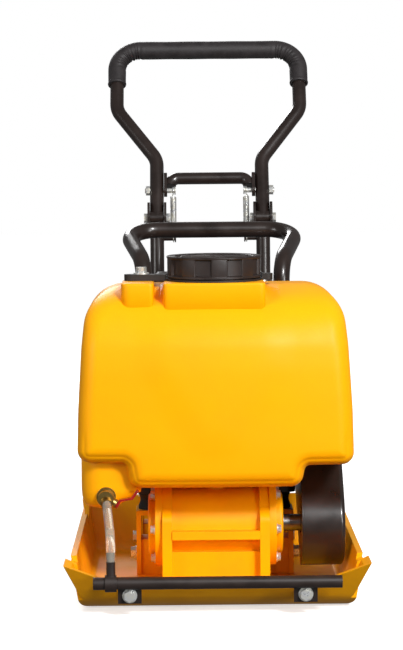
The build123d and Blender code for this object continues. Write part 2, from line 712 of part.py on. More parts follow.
cheek_gap = handle_radius + running_gap
cheek = 3.65
cheek_face = outline(
    [
        (hinge_y - 14.0, hinge_z - 26.0, 0),
        (hinge_y + 13.0, hinge_z - 26.0, 0),
        (hinge_y + 16.0, hinge_z + 10.0, 8.0),
        (hinge_y + 16.0, hinge_z + 25.0, 8.0),
        (hinge_y - 4.0, hinge_z + 25.0, 10.0),
        (hinge_y - 14.0, hinge_z + 4.0, 8.0),
    ]
)
hinge_block = slab_x(cheek_face, handle_x - cheek_gap - cheek, handle_x + cheek_gap + cheek)
hinge_block = hinge_block - block(
    handle_x - cheek_gap, handle_x + cheek_gap, hinge_y - 40, hinge_y + 40, hinge_z - 12.4, hinge_z + 60
)
hinge_block = hinge_block - rod_x(handle_x - 20.0, handle_x + 20.0, hinge_y, hinge_z, 4.0)
hinge_block = hinge_block - lower
hinge_block = max(hinge_block.solids(), key=lambda solid: solid.volume)
store("hinge_brackets", *both_sides(hinge_block))


def cross_bolt(inner, outer, y, z):
    """Bolt along X with a hexagon head outside and a nut inside."""
    return fuse(
        rod_x(inner - 6.0, outer + 1.0, y, z, 4.0),
        hexagon((outer, y, z), (outer + 5.5, y, z), 13.0),
        hexagon((inner - 5.5, y, z), (inner, y, z), 13.0),
    )


cheek_inner = handle_x - cheek_gap - cheek
cheek_outer = handle_x + cheek_gap + cheek
store("hinge_bolts", *both_sides(cross_bolt(cheek_inner, cheek_outer, hinge_y, hinge_z)))

# --- upper handle --------------------------------------------------------
lean = math.radians(handle_lean)


def on_handle(x, reach):
    """Point in the handle's plane at a distance up from the hinge axis."""
    return (x, hinge_y + reach * math.sin(lean), hinge_z + reach * math.cos(lean))


def handle_path(points, radius):
    return FilletPolyline(*[on_handle(x, reach) for x, reach in points], radius=radius)


flare_start, flare_end, grip_start = 107.0, 200.0, 248.5
frame_points = [
    (handle_x, 0.0),
    (handle_x, flare_start),
    (handle_flare, flare_end),
    (handle_flare, handle_reach),
    (-handle_flare, handle_reach),
    (-handle_flare, flare_end),
    (-handle_x, flare_start),
    (-handle_x, 0.0),
]
frame_path = handle_path(frame_points, 38.0)
frame_plane = Plane(origin=frame_path @ 0, z_dir=frame_path % 0)
upper = sweep(frame_plane * Circle(handle_radius), path=frame_path)
stud_y, stud_z = on_handle(0, stud_reach)[1:]
for side in (-1, 1):
    knuckle_in, knuckle_out = side * (handle_x - handle_radius), side * (handle_x + handle_radius)
    upper = upper + rod_x(knuckle_in, knuckle_out, hinge_y, hinge_z, handle_radius - 0.2)
    upper = upper - rod_x(side * 60.0, side * 110.0, hinge_y, hinge_z, 4.0 + bore_gap)
    upper = upper - rod_x(side * 60.0, side * 110.0, stud_y, stud_z, 4.0)
store("upper_handle", upper)

grip_points = [
    (handle_flare, grip_start),
    (handle_flare, handle_reach),
    (-handle_flare, handle_reach),
    (-handle_flare, grip_start),
]
grip_path = handle_path(grip_points, 38.0)
grip_plane = Plane(origin=grip_path @ 0, z_dir=grip_path % 0)
grip = sweep(grip_plane * (Circle(grip_radius) - Circle(handle_radius)), path=grip_path)
store("handle_grip", grip)

stud = fuse(
    rod_x(54.0, handle_x + 19.0, stud_y, stud_z, 4.0),
    rod_x(54.0, 56.0, stud_y, stud_z, 6.5),
    hexagon((handle_x + 11.0, stud_y, stud_z), (handle_x + 17.5, stud_y, stud_z), 13.0),
)
store("handle_studs", *both_sides(stud))

yoke_reach = 72.0
yoke_y, yoke_z = on_handle(0, yoke_reach)[1:]
yoke_outer = handle_x - handle_radius - running_gap
yoke_radius = 9.5
yoke_half, yoke_bend = 63.0, 13.5
yoke_foot = stud_reach + 8.0
yoke_path = handle_path(
    [
        (-yoke_half, yoke_foot),
        (-yoke_half, yoke_reach),
        (yoke_half, yoke_reach),
        (yoke_half, yoke_foot),
    ],
    yoke_bend,
)
yoke = sweep(Plane(origin=yoke_path @ 0, z_dir=yoke_path % 0) * Circle(yoke_radius), path=yoke_path)
lug_middle = (yoke_y + stud_y) / 2, (yoke_z + stud_z) / 2
for side in (-1, 1):
    plate_in, plate_out = side * (yoke_outer - 5.0), side * yoke_outer
    lug = rod_x(plate_in, plate_out, yoke_y, yoke_z, yoke_radius)
    lug = lug + rod_x(plate_in, plate_out, stud_y, stud_z, 10.0)
    tie_plane = Plane(
        origin=(min(plate_in, plate_out), *lug_middle),
        x_dir=(0, math.cos(lean), -math.sin(lean)),
        z_dir=(1, 0, 0),
    )
    lug = lug + extrude(tie_plane * Rectangle(19.0, yoke_reach - stud_reach), 5.0)
    yoke = yoke + lug - rod_x(side * 60.0, side * 80.0, stud_y, stud_z, 4.0 + bore_gap)
store("latch_yoke", yoke)

# --- springs -------------------------------------------------------------
spring_x = 58.0
spring_bottom = Vector(spring_x, hinge_y, anchor_z)
spring_top = Vector(spring_x, stud_y, stud_z)
spring_way = (spring_top - spring_bottom).normalized()
spring_length = (spring_top - spring_bottom).length
wire_radius = 0.9
coil_radius = 4.1
eye_radius = 5.6
coil_start = 11.0
coil_pitch = 2.2
spring_plane = Plane(origin=spring_bottom, x_dir=(1, 0, 0), z_dir=spring_way)
turns = int((spring_length - 2 * coil_start) / coil_pitch)
coil_first = (spring_length - turns * coil_pitch) / 2
profile = [Line((0, coil_first), (coil_radius, coil_first))]
for turn in range(turns):
    low = coil_first + turn * coil_pitch
    high = low + coil_pitch
    bulge_point = (coil_radius + wire_radius, (low + high) / 2)
    profile.append(ThreePointArc((coil_radius, low), bulge_point, (coil_radius, high)))
coil_last = coil_first + turns * coil_pitch
profile += [Line((coil_radius, coil_last), (0, coil_last)), Line((0, coil_last), (0, coil_first))]
coil = revolve(Plane.XZ * make_face(Wire(profile)), Axis.Z)
coil = coil - rod_z(0, 0, coil_first + 1.5, coil_last - 1.5, coil_radius - wire_radius)
spring = spring_plane * coil
for end, way in ((spring_bottom, spring_way), (spring_top, spring_way * -1)):
    eye = Plane(origin=end, x_dir=way * -1, z_dir=(1, 0, 0)) * Torus(eye_radius, wire_radius)
    neck = rod(end + way * (eye_radius + 0.3), end + way * (coil_first + 1.0), wire_radius)
    spring = fuse(spring, eye, neck)
store("handle_springs", *both_sides(spring))

# --- water tank ----------------------------------------------------------
left_skirt_z, right_skirt_z, tongue_z = 200.0, 194.0, 164.0
tongue_x = 118.0
shoulder = tank_half_width - 16.0


def tank_front_face(inset):
    edge = tank_half_width
    face = outline(
        [
            (-shoulder, tank_top, 56.0),
            (-edge + 7.5, 360.0, 120.0),
            (-edge + 2.0, 270.0, 200.0),
            (-edge, left_skirt_z, 18.0),
            (-tongue_x - 6.0, left_skirt_z, 8.0),
            (-tongue_x, tongue_z, 18.0),
            (tongue_x, tongue_z, 18.0),
            (tongue_x + 6.0, right_skirt_z, 8.0),
            (edge, right_skirt_z, 18.0),
            (edge - 2.0, 270.0, 200.0),
            (edge - 7.5, 360.0, 120.0),
            (shoulder, tank_top, 56.0),
        ]
    )
    return offset(face, amount=-inset) if inset else face


def tank_side_face(inset):
    face = outline(
        [
            (tank_rear, tongue_z - 1.0, 14.0),
            (tank_rear, tank_top + 1.0, 16.0),
            (-140.0, tank_top, 60.0),
            (-196.0, 418.0, 40.0),
            (tank_front, 360.0, 60.0),
            (tank_front, tongue_z - 1.0, 26.0),
        ]
    )
    return offset(face, amount=-inset) if inset else face


def tank_body(inset):
    front = slab_y(tank_front_face(inset), tank_rear + 40.0, tank_front - 40.0)
    side = slab_x(tank_side_face(inset), -tank_half_width - 40.0, tank_half_width + 40.0)
    body = front & side
    body = body - block(guard_x0 - 5.0 - inset, 400.0, -72.0 - inset, 0.0, 0.0, 216.0 + inset)
    lobe = block(
        -tank_half_width + 6.0 + inset,
        -108.0 - inset,
        -188.0 + inset,
        -62.0 - inset,
        136.0 + inset,
        left_skirt_z + 30.0 - inset,
    )
    lobe = fillet(lobe.edges(), 14.0 - inset)
    return body + lobe


tank = tank_body(0.0)
shield = outline(
    [
        (-92.0, 418.0, 12.0),
        (92.0, 418.0, 12.0),
        (94.0, 330.0, 30.0),
        (26.0, 226.0, 26.0),
        (-26.0, 226.0, 26.0),
        (-94.0, 330.0, 30.0),
    ]
)
bulge = extrude(Plane.XZ.offset(-tank_front - 10.0) * shield, 18.0, taper=20.0)
bulge = bulge - block(-200.0, 200.0, -400.0, 0.0, 380.0, 500.0)
tank = fuse(
    tank,
    bulge,
    rod_z(0, neck_y, 400.0, neck_seat, 70.5),
    rod_z(-105.0, neck_y, 400.0, neck_seat, 24.0),
    rod_z(0, neck_y, neck_seat - 10.0, 470.0, neck_radius),
)
valve_seat = -188.0
tank = tank + rod_y(valve_x, valve_seat, valve_seat + 20.0, valve_z, 14.0)
tank = tank - tank_body(tank_wall)
tank = tank - rod_z(0, neck_y, 430.0, 480.0, neck_radius - 4.0)
tank = tank - rod_y(valve_x, valve_seat - 1, valve_seat + 30.0, valve_z, 5.0)
tank = tank - rod_z(-102.0, neck_y, neck_seat - 13.0, neck_seat + 1.0, 4.0)
store("water_tank", tank)

tether_ring, tether_ear = 3.0, 9.0
tether_face = Pos(0, neck_y) * Circle(68.0)
ear_face = Pos(-63.0, neck_y) * RectangleRounded(126.0, 24.0, 10.0)
ear_face = ear_face + Pos(42.0, neck_y) * RectangleRounded(82.0, 18.0, 8.0)
ear_face = ear_face - Pos(0, neck_y) * Circle(68.0)
tether_face = tether_face - Pos(0, neck_y) * Circle(neck_radius + running_gap)
tether = slab_z(tether_face, neck_seat, neck_seat + tether_ring)
tether = tether + slab_z(ear_face, neck_seat, neck_seat + tether_ear)
tether = tether - rod_z(-102.0, neck_y, neck_seat - 1, neck_seat + tether_ear + 1, 4.0)
store("cap_tether", tether)
tether_seat = (-102.0, neck_y, neck_seat + tether_ear)
store("tether_bolt", flange_bolt(tether_seat, (0, 0, 1), 4.0, 14.0, 11.0, 13.0, 10.0))

gasket = rod_z(0, neck_y, 470.0, 473.0, neck_radius) - rod_z(0, neck_y, 469.0, 474.0, neck_radius - 7.0)
store("cap_gasket", gasket)
cap = rod_z(0, neck_y, cap_bottom, cap_top, cap_radius)
cap = cap - rod_z(0, neck_y, cap_bottom - 1, 473.0, neck_radius + running_gap)
cap = cap - rod_z(0, neck_y, cap_top - 5.0, cap_top + 1, cap_radius - 12.0)
cap = cap + block(-46.0, 46.0, neck_y - 5.0, neck_y + 5.0, cap_top - 6.0, cap_top - 0.5)
pocket_count = 9
pocket_depth, pocket_turn = 3.0, 20.0
pocket_ring = Circle(cap_radius + 1) - Circle(cap_radius - pocket_depth)
pocket_reach = 2 * cap_radius
pocket_side = pocket_reach * math.tan(math.radians(pocket_turn / 2))
wedge = make_face(Polyline((0, 0), (pocket_reach, pocket_side), (pocket_reach, -pocket_side), close=True))
pocket = slab_z(pocket_ring & wedge, cap_bottom + 4.0, cap_top - 4.0)
for index in range(pocket_count):
    cap = cap - Pos(0, neck_y, 0) * Rotation(0, 0, 360.0 * index / pocket_count) * pocket
store("tank_cap", cap)

# --- valve, hose and sprinkler -------------------------------------------
valve = Vector(valve_x, valve_y, valve_z)
stem_way = Vector(0.845, 0, -0.535).normalized()
lever_way = Vector(0.535, 0, 0.845).normalized()
tee_top = sprinkler_z + 30.0
hose_corner = Vector(tee_x, sprinkler_y, tee_top + 33.0)
hose_end = Vector(tee_x, sprinkler_y, tee_top)
outlet_way = (hose_corner - valve).normalized()
outlet_length = 17.0
hose_start = valve + outlet_way * outlet_length
valve_body = fuse(
    rod_y(valve_x, valve_y - 11.0, valve_seat - 4.0, valve_z, 11.0),
    rod_y(valve_x, valve_seat - 4.0, valve_seat, valve_z, 13.5),
    rod(valve, hose_start, 7.8),
    rod(valve, valve + stem_way * 16.0, 6.5),
    rod(valve, hose_start + outlet_way * 12.0, 4.2),
)
ball_seat = Plane(origin=valve, x_dir=(0, 1, 0), z_dir=stem_way)
chamber = extrude(ball_seat.offset(-8.35) * Circle(8.35), 16.7)
valve_body = valve_body - chamber
valve_body = valve_body - rod(valve + stem_way * 5.0, valve + stem_way * 20.0, 3.0 + bore_gap)
valve_body = valve_body - rod_y(valve_x, valve_y + 5.0, valve_seat + 1, valve_z, 4.0)
valve_body = valve_body - rod(valve + outlet_way * 5.0, hose_start + outlet_way * 13.0, 3.0)
store("valve_body", valve_body)
ball = extrude(ball_seat.offset(-8.0) * Circle(8.0), 16.0)
ball = fillet(ball.edges().filter_by(GeomType.CIRCLE), 5.0)
ball = ball - rod(valve - lever_way * 12, valve + lever_way * 12, 3.5)
store("valve_ball", ball - rod(valve + stem_way * 6.0, valve + stem_way * 9.0, 3.0))
stem_end = valve + stem_way * 20.0
stem = rod(valve + stem_way * 6.0, stem_end, 3.0)
nut = hexagon(valve + stem_way * 16.4, valve + stem_way * 20.5, 10.0)
lever_plane = Plane(origin=valve + stem_way * 16.4, x_dir=lever_way, z_dir=stem_way * 1.0)
crank_profile = Polyline(
    (0, -1.25), (8, -1.25), (19, 11), (32, 12.5), (32, 15.5), (18, 14.3), (7, 1.6), (0, 1.6), close=True
)
profile_plane = Plane(
    origin=valve + stem_way * 18.0, x_dir=lever_way, z_dir=lever_way.cross(stem_way)
)
lever = extrude(profile_plane * make_face(crank_profile), 5.5, both=True)
lever = lever + rod(valve + stem_way * 16.6, valve + stem_way * 19.6, 5.5)
store("valve_lever", fuse(lever, stem, nut))

hose_turn = (hose_corner - hose_start).get_angle(hose_end - hose_corner)
hose_bend = 0.45 * 33.0 / math.tan(math.radians(hose_turn) / 2)
hose_path = FilletPolyline(hose_start, hose_corner, hose_end, radius=hose_bend)
print("hose bend radius", hose_bend, "length", hose_path.length)
hose_plane = Plane(origin=hose_path @ 0, z_dir=hose_path % 0)
hose = sweep(hose_plane * (Circle(hose_radius) - Circle(4.5)), path=hose_path)
print("hose volume", hose.volume, math.pi * (hose_radius**2 - 4.5**2) * hose_path.length)
store("water_hose", hose)

bar = rod_x(-sprinkler_half, sprinkler_half, sprinkler_y, sprinkler_z, sprinkler_radius)
bar = bar - rod_x(-sprinkler_half + 4, sprinkler_half - 4, sprinkler_y, sprinkler_z, sprinkler_radius - 2)
hole_pitch = 22.0
hole_count = int((2 * sprinkler_half - 30.0) / hole_pitch)
for index in range(hole_count + 1):
    x = (index - hole_count / 2) * hole_pitch
    if abs(abs(x) - boss_x) > 18.0 and abs(x - tee_x) > 14.0:
        bar = bar - rod_z(x, sprinkler_y, sprinkler_z - 12.0, sprinkler_z, 1.2)
bar = bar - rod_z(tee_x, sprinkler_y, sprinkler_z, sprinkler_z + 12.0, 3.5)
store("sprinkler_bar", bar)
tee = rod_x(tee_x - 8.0, tee_x + 7.5, sprinkler_y, sprinkler_z, 11.5)
tee = tee + rod_z(tee_x, sprinkler_y, sprinkler_z, tee_top, 6.2)
tee = tee + rod_z(tee_x, sprinkler_y, sprinkler_z, tee_top + 12.0, 4.2)
tee = tee - rod_z(tee_x, sprinkler_y, sprinkler_z, tee_top + 13.0, 3.0)
tee = tee - rod_x(tee_x - 13.0, tee_x + 13.0, sprinkler_y, sprinkler_z, sprinkler_radius)
store("sprinkler_tee", tee)

tabs, tab_bolts = [], []
tab = block(boss_x - 16.0, boss_x + 16.0, -284.0, -280.0, 20.0, 46.0)
tab = tab + block(boss_x - 16.0, boss_x + 16.0, -290.0, -280.0, 41.5, 46.0)
tab = tab - rod_x(50.0, 200.0, sprinkler_y, sprinkler_z, sprinkler_radius)
tab = max(tab.solids(), key=lambda solid: solid.volume)
tab = tab - rod_y(boss_x, -285.0, -279.0, boss_z, 5.0)
tabs = both_sides(tab)
bolt = flange_bolt((boss_x, -284.0, boss_z), (0, -1, 0), 5.0, 22.0, 10.0, 14.0, 9.0)
store("sprinkler_tabs", *tabs)
store("sprinkler_bolts", *both_sides(bolt))

# --- files ---------------------------------------------------------------
os.makedirs("parts", exist_ok=True)
for name, solids in parts.items():
    shape = solids[0] if len(solids) == 1 else Compound(children=solids)
    export_step(shape, f"parts/{name}.step")
print(len(parts), "nodes")
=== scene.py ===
"""Plate compactor: the finished look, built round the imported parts. Metres, +Z up, front to -Y."""

import json
import math

import bpy
import numpy as np
from mathutils import Matrix


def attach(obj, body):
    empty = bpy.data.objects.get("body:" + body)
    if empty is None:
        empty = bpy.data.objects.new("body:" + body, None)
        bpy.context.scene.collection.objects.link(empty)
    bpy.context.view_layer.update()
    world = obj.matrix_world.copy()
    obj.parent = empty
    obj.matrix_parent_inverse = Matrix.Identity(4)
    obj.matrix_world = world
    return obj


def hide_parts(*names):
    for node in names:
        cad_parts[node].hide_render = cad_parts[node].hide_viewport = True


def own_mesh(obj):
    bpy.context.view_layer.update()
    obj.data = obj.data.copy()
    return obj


bl_info = {
    "name": "Plate Compactor Builder",
    "version": (1, 0, 0),
    "blender": (4, 5, 0),
    "location": "View3D > Sidebar > Compactor",
    "description": "Builds the tank, cap, grip, springs, hose and finishes of a plate compactor",
    "category": "Object",
}

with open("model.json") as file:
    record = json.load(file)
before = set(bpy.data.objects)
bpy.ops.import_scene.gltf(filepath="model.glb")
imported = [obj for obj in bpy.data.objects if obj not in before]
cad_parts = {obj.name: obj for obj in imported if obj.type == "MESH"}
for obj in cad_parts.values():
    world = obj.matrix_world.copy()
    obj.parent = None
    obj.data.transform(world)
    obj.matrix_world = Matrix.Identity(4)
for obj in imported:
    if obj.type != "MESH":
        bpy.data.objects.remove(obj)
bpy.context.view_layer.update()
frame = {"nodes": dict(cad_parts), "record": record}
MM = 0.001

# How far a finish's two colours reach into each other, and the detail of its noises.
PATCH_SPREAD = 0.22
PATCH_DETAIL = 4.0
GRAIN_DETAIL = 3.0


# --- colours and nodes ---------------------------------------------------
def linear(code):
    """sRGB hex such as "#ffc000" to linear RGBA."""
    parts = [int(code[index : index + 2], 16) / 255 for index in (1, 3, 5)]
    bent = [part / 12.92 if part <= 0.04045 else ((part + 0.055) / 1.055) ** 2.4 for part in parts]
    return (*bent, 1.0)


def add_node(tree, kind, settings=None, **links):
    """Adds a node: settings name its sockets (text or number) or properties, links feed sockets."""
    node = tree.nodes.new(kind)
    for key, value in (settings or {}).items():
        if isinstance(key, str) and hasattr(node, key):
            setattr(node, key, value)
        else:
            node.inputs[key].default_value = value
    for key, source in links.items():
        by_number = key[0] == "s" and key[1:].isdigit()
        tree.links.new(source, node.inputs[int(key[1:]) if by_number else key.replace("_", " ")])
    return node


def new_material(name, shader):
    """Empty material with a Principled shader that has the given socket values."""
    material = bpy.data.materials.new(name)
    material.use_nodes = True
    tree = material.node_tree
    tree.nodes.clear()
    principled = add_node(tree, "ShaderNodeBsdfPrincipled", shader)
    add_node(tree, "ShaderNodeOutputMaterial", Surface=principled.outputs["BSDF"])
    return material, tree, principled


def patch_mix(tree, place, size, first, second):
    """Two colours in soft patches of a size in millimetres: the colour and the share as sockets."""
    noise = add_node(
        tree,
        "ShaderNodeTexNoise",
        {"Scale": 1 / (size * MM), "Detail": PATCH_DETAIL, "Roughness": 0.55},
        Vector=place,
    )
    spread = add_node(
        tree,
        "ShaderNodeMapRange",
        {"From Min": 0.5 - PATCH_SPREAD, "From Max": 0.5 + PATCH_SPREAD},
        Value=noise.outputs["Fac"],
    )
    mix = add_node(
        tree,
        "ShaderNodeMix",
        {"data_type": "RGBA", 6: first, 7: second},
        s0=spread.outputs["Result"],
    )
    return mix.outputs[2], spread.outputs["Result"]


def grain(tree, place, size, height, below=None):
    """Bumps of a size and height in millimetres, laid over another normal."""
    noise = add_node(
        tree,
        "ShaderNodeTexNoise",
        {"Scale": 1 / (size * MM), "Detail": GRAIN_DETAIL},
        Vector=place,
    )
    bump = add_node(
        tree,
        "ShaderNodeBump",
        {"Strength": 1.0, "Distance": height * MM},
        Height=noise.outputs["Fac"],
    )
    if below is not None:
        tree.links.new(below, bump.inputs["Normal"])
    return bump.outputs["Normal"]


def coated(name, shader, colours, patch, bumps, edge=0.0, roughness=None):
    """A finish of two near colours in patches, with bumps and an eased edge in millimetres."""
    material, tree, principled = new_material(name, shader)
    place = add_node(tree, "ShaderNodeTexCoord").outputs["Object"]
    colour, spread = patch_mix(tree, place, patch, linear(colours[0]), linear(colours[1]))
    tree.links.new(colour, principled.inputs["Base Color"])
    if roughness:
        rough = add_node(
            tree,
            "ShaderNodeMapRange",
            {"To Min": roughness[0], "To Max": roughness[1]},
            Value=spread,
        )
        tree.links.new(rough.outputs["Result"], principled.inputs["Roughness"])
    normal = None
    if edge:
        eased = add_node(tree, "ShaderNodeBevel", {"samples": 4, "Radius": edge * MM})
        normal = eased.outputs["Normal"]
    for size, height in bumps:
        normal = grain(tree, place, size, height, normal)
    if normal is not None:
        tree.links.new(normal, principled.inputs["Normal"])
    return material


def make_finishes(look):
    """Every finish by the record's slot name."""
    made = {}
    # Gloss enamel on cast and folded steel: a soft orange peel, slightly deeper colour in patches.
    made["yellow_paint"] = coated(
        "gloss_enamel_on_cast_steel",
        {
            "Roughness": 0.38,
            "Specular IOR Level": 0.22,
            "Coat Weight": 0.06,
            "Coat Roughness": 0.15,
        },
        (look.casting_colour, look.casting_shade),
        45.0,
        ((9.0, 0.16), (1.6, 0.05)),
        edge=1.6,
        roughness=(0.32, 0.46),
    )
    # Blow-moulded polyethylene: waxy, light passes a little way in, the wall is faintly wavy.
    made["yellow_plastic"] = coated(
        "blow_moulded_polyethylene",
        {
            "Roughness": 0.44,
            "IOR": 1.51,
            "Specular IOR Level": 0.16,
            "Subsurface Weight": 0.05,
            "Subsurface Radius": (0.004, 0.002, 0.0006),
            "Subsurface Scale": 1.0,
        },
        (look.tank_colour, look.tank_shade),
        90.0,
        ((38.0, 0.22), (2.2, 0.012)),
        roughness=(0.38, 0.46),
    )
    # Powder coat on steel tube: satin black with a fine orange peel, brownish where dust sits.
    made["black_paint"] = coated(
        "powder_coated_steel",
        {"Roughness": 0.3, "Coat Weight": 0.35, "Coat Roughness": 0.1},
        (look.tube_colour, "#2a1f1b"),
        30.0,
        ((2.4, 0.045),),
        edge=0.9,
        roughness=(0.26, 0.4),
    )
    # Moulded polypropylene: satin, a fine spark-eroded grain.
    made["black_plastic"] = coated(
        "moulded_polypropylene",
        {"Roughness": 0.45, "IOR": 1.49},
        ("#211815", "#2c211d"),
        22.0,
        ((1.3, 0.05),),
        edge=0.8,
        roughness=(0.38, 0.52),
    )
    # Zinc-plated steel: bright with a faint blue and straw passivation.
    made["zinc_steel"] = coated(
        "zinc_plated_steel",
        {"Roughness": 0.3, "Metallic": 0.7},
        ("#dfe3e8", "#e9e4d4"),
        6.0,
        ((0.9, 0.02),),
        edge=0.5,
        roughness=(0.24, 0.4),
    )
    # Machined steel: grey, fine turned marks.
    made["tool_steel"] = coated(
        "turned_steel",
        {"Roughness": 0.34, "Metallic": 1.0},
        ("#8f9193", "#7c7b79"),
        14.0,
        ((0.8, 0.03),),
        edge=0.6,
        roughness=(0.28, 0.44),
    )
    # Grey iron as cast: dark, coarse sand grain.
    made["cast_iron"] = coated(
        "sand_cast_grey_iron",
        {"Roughness": 0.62, "Metallic": 0.6},
        ("#2b2a29", "#383533"),
        18.0,
        ((2.0, 0.12),),
        edge=0.8,
    )
    # Moulded rubber: dull, near black.
    made["black_rubber"] = coated(
        "moulded_rubber",
        {"Roughness": 0.62, "IOR": 1.52},
        ("#14110f", "#1d1917"),
        12.0,
        ((1.4, 0.05),),
        edge=0.6,
        roughness=(0.52, 0.7),
    )
    # Closed-cell foam sleeve: soft sheen, open pores in the skin.
    made["foam"] = coated(
        "closed_cell_foam",
        {"Roughness": 0.55, "Sheen Weight": 0.08, "Sheen Roughness": 0.4},
        ("#1f1b1c", "#2d2829"),
        16.0,
        ((1.1, 0.09), (6.0, 0.12)),
        roughness=(0.5, 0.66),
    )
    # Die-cast aluminium: pale grey, shot-blasted skin.
    made["cast_aluminium"] = coated(
        "shot_blasted_aluminium",
        {"Roughness": 0.5, "Metallic": 1.0},
        ("#a5a7a8", "#8d8f91"),
        20.0,
        ((1.5, 0.08),),
        edge=0.8,
        roughness=(0.44, 0.58),
    )
    # Stoved enamel on the fuel tank: deep graphite gloss.
    made["grey_paint"] = coated(
        "stoved_enamel",
        {"Roughness": 0.25, "Coat Weight": 0.5, "Coat Roughness": 0.08},
        ("#2d2e31", "#35363a"),
        40.0,
        ((10.0, 0.05),),
        roughness=(0.2, 0.3),
    )
    # Turned brass, dulled by handling.
    made["brass"] = coated(
        "turned_brass",
        {"Roughness": 0.34, "Metallic": 1.0},
        ("#b09253", "#8e7440"),
        5.0,
        ((0.8, 0.03),),
        edge=0.5,
        roughness=(0.28, 0.46),
    )
    # Dipped vinyl sleeve on a steel lever: thick glossy red.
    made["red_paint"] = coated(
        "dipped_vinyl",
        {"Roughness": 0.3, "Coat Weight": 0.4, "Coat Roughness": 0.12},
        (look.lever_colour, "#7c0a0b"),
        9.0,
        ((3.0, 0.05),),
        edge=0.8,
    )
    # Extruded clear PVC: faintly straw, with a smooth skin.
    made["clear_pvc"] = coated(
        "extruded_clear_pvc",
        {
            "Roughness": 0.12,
            "IOR": 1.53,
            "Transmission Weight": 0.72,
            "Specular IOR Level": 0.6,
        },
        ("#efe6d6", "#e2d4bd"),
        12.0,
        ((7.0, 0.06),),
    )
    return made


# --- surfaces ------------------------------------------------------------
def make_piece(name, surface, body, slot, stands_for):
    """Smooth mesh object at the origin, riding on a body, in a slot's finish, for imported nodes."""
    points, faces = surface
    mesh = bpy.data.meshes.new(name)
    mesh.from_pydata(points.tolist(), [], faces)
    mesh.materials.append(finish_for(slot))
    mesh.polygons.foreach_set("use_smooth", np.ones(len(mesh.polygons), bool))
    mesh.update()
    piece = bpy.data.objects.new(name, mesh)
    bpy.context.scene.collection.objects.link(piece)
    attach(piece, body)
    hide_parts(*stands_for)
    return piece


def grid_surface(grid, closed=True, ends="caps"):
    """Points and faces of a (rows, columns, 3) grid whose columns run round a loop.

    Each row joins the next with quads. Ends are closed with a fan to the row's middle ("caps"),
    joined to each other ("loop"), or left open ("open").
    """
    rows, columns = grid.shape[:2]
    points = grid.reshape(-1, 3)
    index = np.arange(rows * columns).reshape(rows, columns)
    if ends == "loop":
        index = np.vstack([index, index[:1]])
    if closed:
        index = np.hstack([index, index[:, :1]])
    quads = np.stack([index[:-1, :-1], index[:-1, 1:], index[1:, 1:], index[1:, :-1]], axis=-1)
    faces = quads.reshape(-1, 4).tolist()
    if ends == "caps":
        low, high = len(points), len(points) + 1
        points = np.vstack([points, grid[0].mean(axis=0), grid[-1].mean(axis=0)])
        first, last = index[0], index[-1]
        faces += np.stack([np.full(columns, low), first[1:], first[:-1]], axis=-1).tolist()
        faces += np.stack([np.full(columns, high), last[:-1], last[1:]], axis=-1).tolist()
    return points, faces


def join(*surfaces):
    """Several (points, faces) as one."""
    points, faces, base = [], [], 0
    for some_points, some_faces in surfaces:
        points.append(some_points)
        faces += [[base + corner for corner in face] for face in some_faces]
        base += len(some_points)
    return np.vstack(points), faces


def carried(centre, across, radius, sides=24):
    """Rings carried along a path.

    centre holds the path's points and across a unit vector square to the path at each; the ring is
    centre + radius * (cos v * across + sin v * (tangent x across)).
    """
    tangent = np.gradient(centre, axis=0)
    tangent /= np.linalg.norm(tangent, axis=1, keepdims=True)
    across = across - tangent * (across * tangent).sum(axis=1, keepdims=True)
    across /= np.linalg.norm(across, axis=1, keepdims=True)
    other = np.cross(tangent, across)
    turn = np.linspace(0, 2 * np.pi, sides, endpoint=False)
    radius = np.broadcast_to(np.asarray(radius, float), (len(centre),))
    cosine, sine = np.cos(turn)[None, :, None], np.sin(turn)[None, :, None]
    ring = cosine * across[:, None] + sine * other[:, None]
    return centre[:, None] + radius[:, None, None] * ring


def revolved(profile, centre, sides, swell):
    """(radius, height) profile turned about an upright axis; swell(turn, row) widens it."""
    turn = np.linspace(0, 2 * np.pi, sides, endpoint=False)
    radius = profile[:, 0][:, None] + swell(turn[None, :], np.arange(len(profile))[:, None])
    height = profile[:, 1][:, None] + np.zeros(sides)
    x = centre[0] + radius * np.cos(turn)
    y = centre[1] + radius * np.sin(turn)
    return np.stack([x, y, height], axis=-1)


def stacked(loop, middle, inset, height):
    """Rings of a level outline, one per height, each drawn in towards a middle by its inset."""
    way = (loop - middle) / np.linalg.norm(loop - middle, axis=1, keepdims=True)
    rings = loop[None] - way[None] * inset[:, None, None]
    heights = np.broadcast_to(height[:, None, None], (*rings.shape[:2], 1))
    return np.concatenate([rings, heights], axis=-1)


def standing_block(corners, bottom, top, ease=3.0):
    """Upright block over a rounded outline, its top edge eased by a quarter round."""
    loop = rounded_loop(corners, 160)
    turn = np.linspace(0, np.pi / 2, 7)
    inset = np.concatenate([[0.0], ease * (1 - np.cos(turn))])
    height = np.concatenate([[bottom], top - ease + ease * np.sin(turn)])
    return grid_surface(stacked(loop, loop.mean(axis=0), inset, height) * MM)


def smooth_step(value, low, high):
    """0 below low, 1 above high, and a smooth cubic between."""
    share = np.clip((value - low) / (high - low), 0, 1)
    return share * share * (3 - 2 * share)


